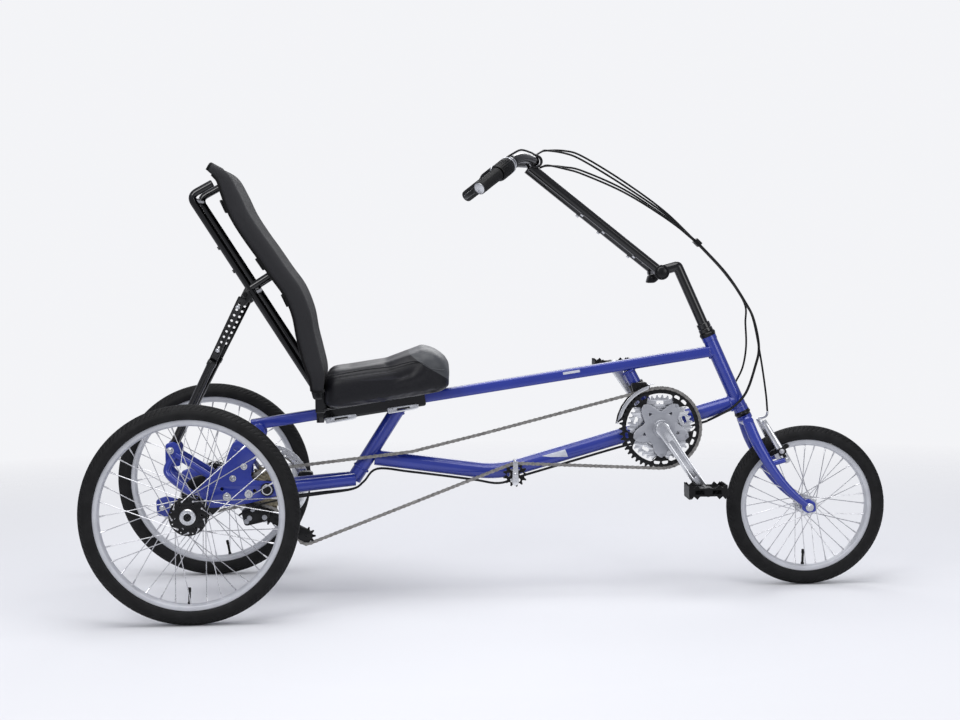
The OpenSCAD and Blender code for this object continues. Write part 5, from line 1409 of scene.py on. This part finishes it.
piece("brakeNuts", bothSides(bolt(padAt + 0.0525 * yDir, yDir, 0.0042)), spokeSteel, "steering")
print("stage: steering")

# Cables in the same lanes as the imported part's
cableSpec = {"radius": 0.0024, "lanes": (0.012, 0.004, -0.004, -0.012),
             "starts": ((0.12, 0.024, 1.024), (0.12, 0.024, 1.06), (0.12, -0.024, 1.06),
                        (0.12, -0.024, 1.024)),
             "onBar": [[0.062, 0.156, 1.0585], [0.088, 0.106, 1.055], [0.104, 0.06, 1.0515]],
             "top": [[0.134, 1.064], [0.18, 1.06], [0.223, 1.044], [0.321, 0.983], [0.419, 0.912],
                     [0.498, 0.838]],
             "side": [[0.138, 1.028], [0.18, 1.022], [0.222, 1.011], [0.321, 0.966], [0.419, 0.902],
                      [0.498, 0.838]],
             "lower": [[0.498, 0.838], [0.567, 0.762], [0.614, 0.69]],
             "frameTail": [[0.618, 0.02, 0.64], [0.62, 0.024, 0.583], [0.611, 0.024, 0.532],
                           [0.592, 0.023, 0.494]],
             "underTail": [[0.63, -0.024, 0.648], [0.641, -0.026, 0.583], [0.631, -0.027, 0.535],
                           [0.609, -0.028, 0.475], [0.578, -0.026, 0.44], [0.545, -0.016, 0.42],
                           [0.519, -0.004, 0.406]],
             "brakeTail": [[0.634, 0.005, 0.65], [0.652, 0.008, 0.56], [0.665, 0.01, 0.47],
                           [0.669, 0.012, 0.424]]}


def inLane(points, y):
    p = np.array(points)
    return np.c_[p[:, 0], np.full(len(p), y), p[:, 1]]


def fanned(points, y, drop):  # as inLane, sagging by drop in the middle and nothing at the last point
    path = inLane(points, y)
    path[:, 2] -= drop * np.sin(np.linspace(0, pi, len(path)))
    return path


def cablePart(points, steps=8):
    return tube(smoothPath(points, steps), cableSpec["radius"], 0.0, 12, yDir + 0.02 * zDir, ease=0.0003)


lanes = cableSpec["lanes"]
gripUp = unit(zDir - gripDir[2] * gripDir)
alongBar = np.vstack([[gripOut + 0.138 * gripDir + 0.0185 * gripUp,
                       gripOut + 0.166 * gripDir + 0.0165 * gripUp],
                      cableSpec["onBar"]])
lead = {"side": np.zeros((0, 3)), "top": alongBar}
upperCables = piece("upperCables", [cablePart(np.vstack([lead[run] * [1, np.sign(y), 1], start,
                                                         fanned(cableSpec[run], y, drop)]))
                                    for start, run, y, drop in zip(cableSpec["starts"],
                                                                   ("side", "top", "top", "side"),
                                                                   lanes, (-0.004, -0.005, 0.006, 0.006))],
                    cableSleeve, None, ("upper_cables",), 60)
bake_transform(upperCables)
under = np.array(cableSpec["underTail"])
lowerPart = {lane: cablePart(np.vstack([inLane(cableSpec["lower"], lanes[lane]), tail]))
             for lane, tail in ((0, cableSpec["frameTail"]), (1, cableSpec["brakeTail"]), (2, under),
                                (3, under - [0, 0.008, 0]))}
lowerCables = piece("lowerCables", [lowerPart[0], lowerPart[2], lowerPart[3]], cableSleeve, None,
                    ("control_cables",), 60)
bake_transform(lowerCables)
piece("frontBrakeCable", [lowerPart[1]], cableSleeve, "steering", ("front_brake_cable",), 60)
underFrame = [[0.518, 0.405], [0.48, 0.394], [0.397, 0.368], [0.3, 0.345], [0.158, 0.306], [0.06, 0.279],
              [0.008, 0.264], [-0.06, 0.275], [-0.205, 0.296]]
frameTails = {-0.004: [[-0.285, -0.006, 0.305], [-0.318, -0.018, 0.276], [-0.345, -0.034, 0.261],
                       [-0.42, -0.04, 0.255], [-0.5, -0.046, 0.247]],
              -0.012: [[-0.285, -0.014, 0.305], [-0.318, -0.026, 0.276], [-0.345, -0.044, 0.261],
                       [-0.42, -0.052, 0.252], [-0.5, -0.057, 0.243], [-0.56, -0.058, 0.232],
                       [-0.6, -0.054, 0.214], [-0.616, -0.042, 0.204]]}
piece("frameCables", [cablePart(np.vstack([inLane(underFrame, y), tail]), 6) for y,
                      tail in frameTails.items()],
      cableSleeve, "frame", ("frame_cables",), 60)
clipAt = centred(0.498, 0.838)
piece("cableClip", [sweep(np.array([clipAt - 0.006 * xDir + 0.006 * zDir,
                                    clipAt + 0.006 * xDir - 0.006 * zDir]),
                          boxSection(0.013, 0.036, 0.005), yDir)], blackPlastic, "steering")
print("stage: cables")

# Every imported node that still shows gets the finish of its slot
finishes = {"blue_paint": bluePaint, "black_paint": blackPaint, "black_plastic": blackPlastic,
            "alloy": brightAlloy,
            "steel": spokeSteel, "tyre_rubber": tyreRubber, "grip_rubber": gripRubber, "cushion_vinyl": vinyl,
            "sling_fabric": webbing}
nodeSlots = frame["record"].get("appearance", {}).get("node_slots", {})
for name, node in frame["nodes"].items():
    chosen = finishes.get(nodeSlots.get(name), blackPaint)
    for holder in node.material_slots:
        holder.material = chosen

# Plain floor that fades out with distance
floorSpec = {"radius": 14, "sides": 96, "fadeFrom": 1.1, "fadeTo": 3.8, "colour": (0.73, 0.735, 0.76)}
floorMesh = bpy.data.meshes.new("floor")
floorEdge = np.c_[ringPoints(floorSpec["radius"], floorSpec["sides"]), np.zeros(floorSpec["sides"])]
floorMesh.from_pydata(floorEdge.tolist(), [], [list(range(floorSpec["sides"]))])
floor = bpy.data.objects.new("floor", floorMesh)
scene.collection.objects.link(floor)
floorPaint = bpy.data.materials.new("floorPaint")
floorPaint.use_nodes = True
nodes, links = floorPaint.node_tree.nodes, floorPaint.node_tree.links
paint = nodes["Principled BSDF"]
paint.inputs["Base Color"].default_value = (*floorSpec["colour"], 1)
paint.inputs["Roughness"].default_value = 0.9
paint.inputs["Specular IOR Level"].default_value = 0.1
place, far, fade, clear, mix = (nodes.new(k) for k in ("ShaderNodeTexCoord", "ShaderNodeVectorMath",
                                                       "ShaderNodeMapRange", "ShaderNodeBsdfTransparent",
                                                       "ShaderNodeMixShader"))
far.operation = "LENGTH"
fade.inputs["From Min"].default_value = floorSpec["fadeFrom"]
fade.inputs["From Max"].default_value = floorSpec["fadeTo"]
links.new(place.outputs["Object"], far.inputs[0])
links.new(far.outputs["Value"], fade.inputs["Value"])
links.new(fade.outputs["Result"], mix.inputs["Fac"])
links.new(paint.outputs["BSDF"], mix.inputs[1])
links.new(clear.outputs["BSDF"], mix.inputs[2])
links.new(mix.outputs["Shader"], nodes["Material Output"].inputs["Surface"])
floorMesh.materials.append(floorPaint)
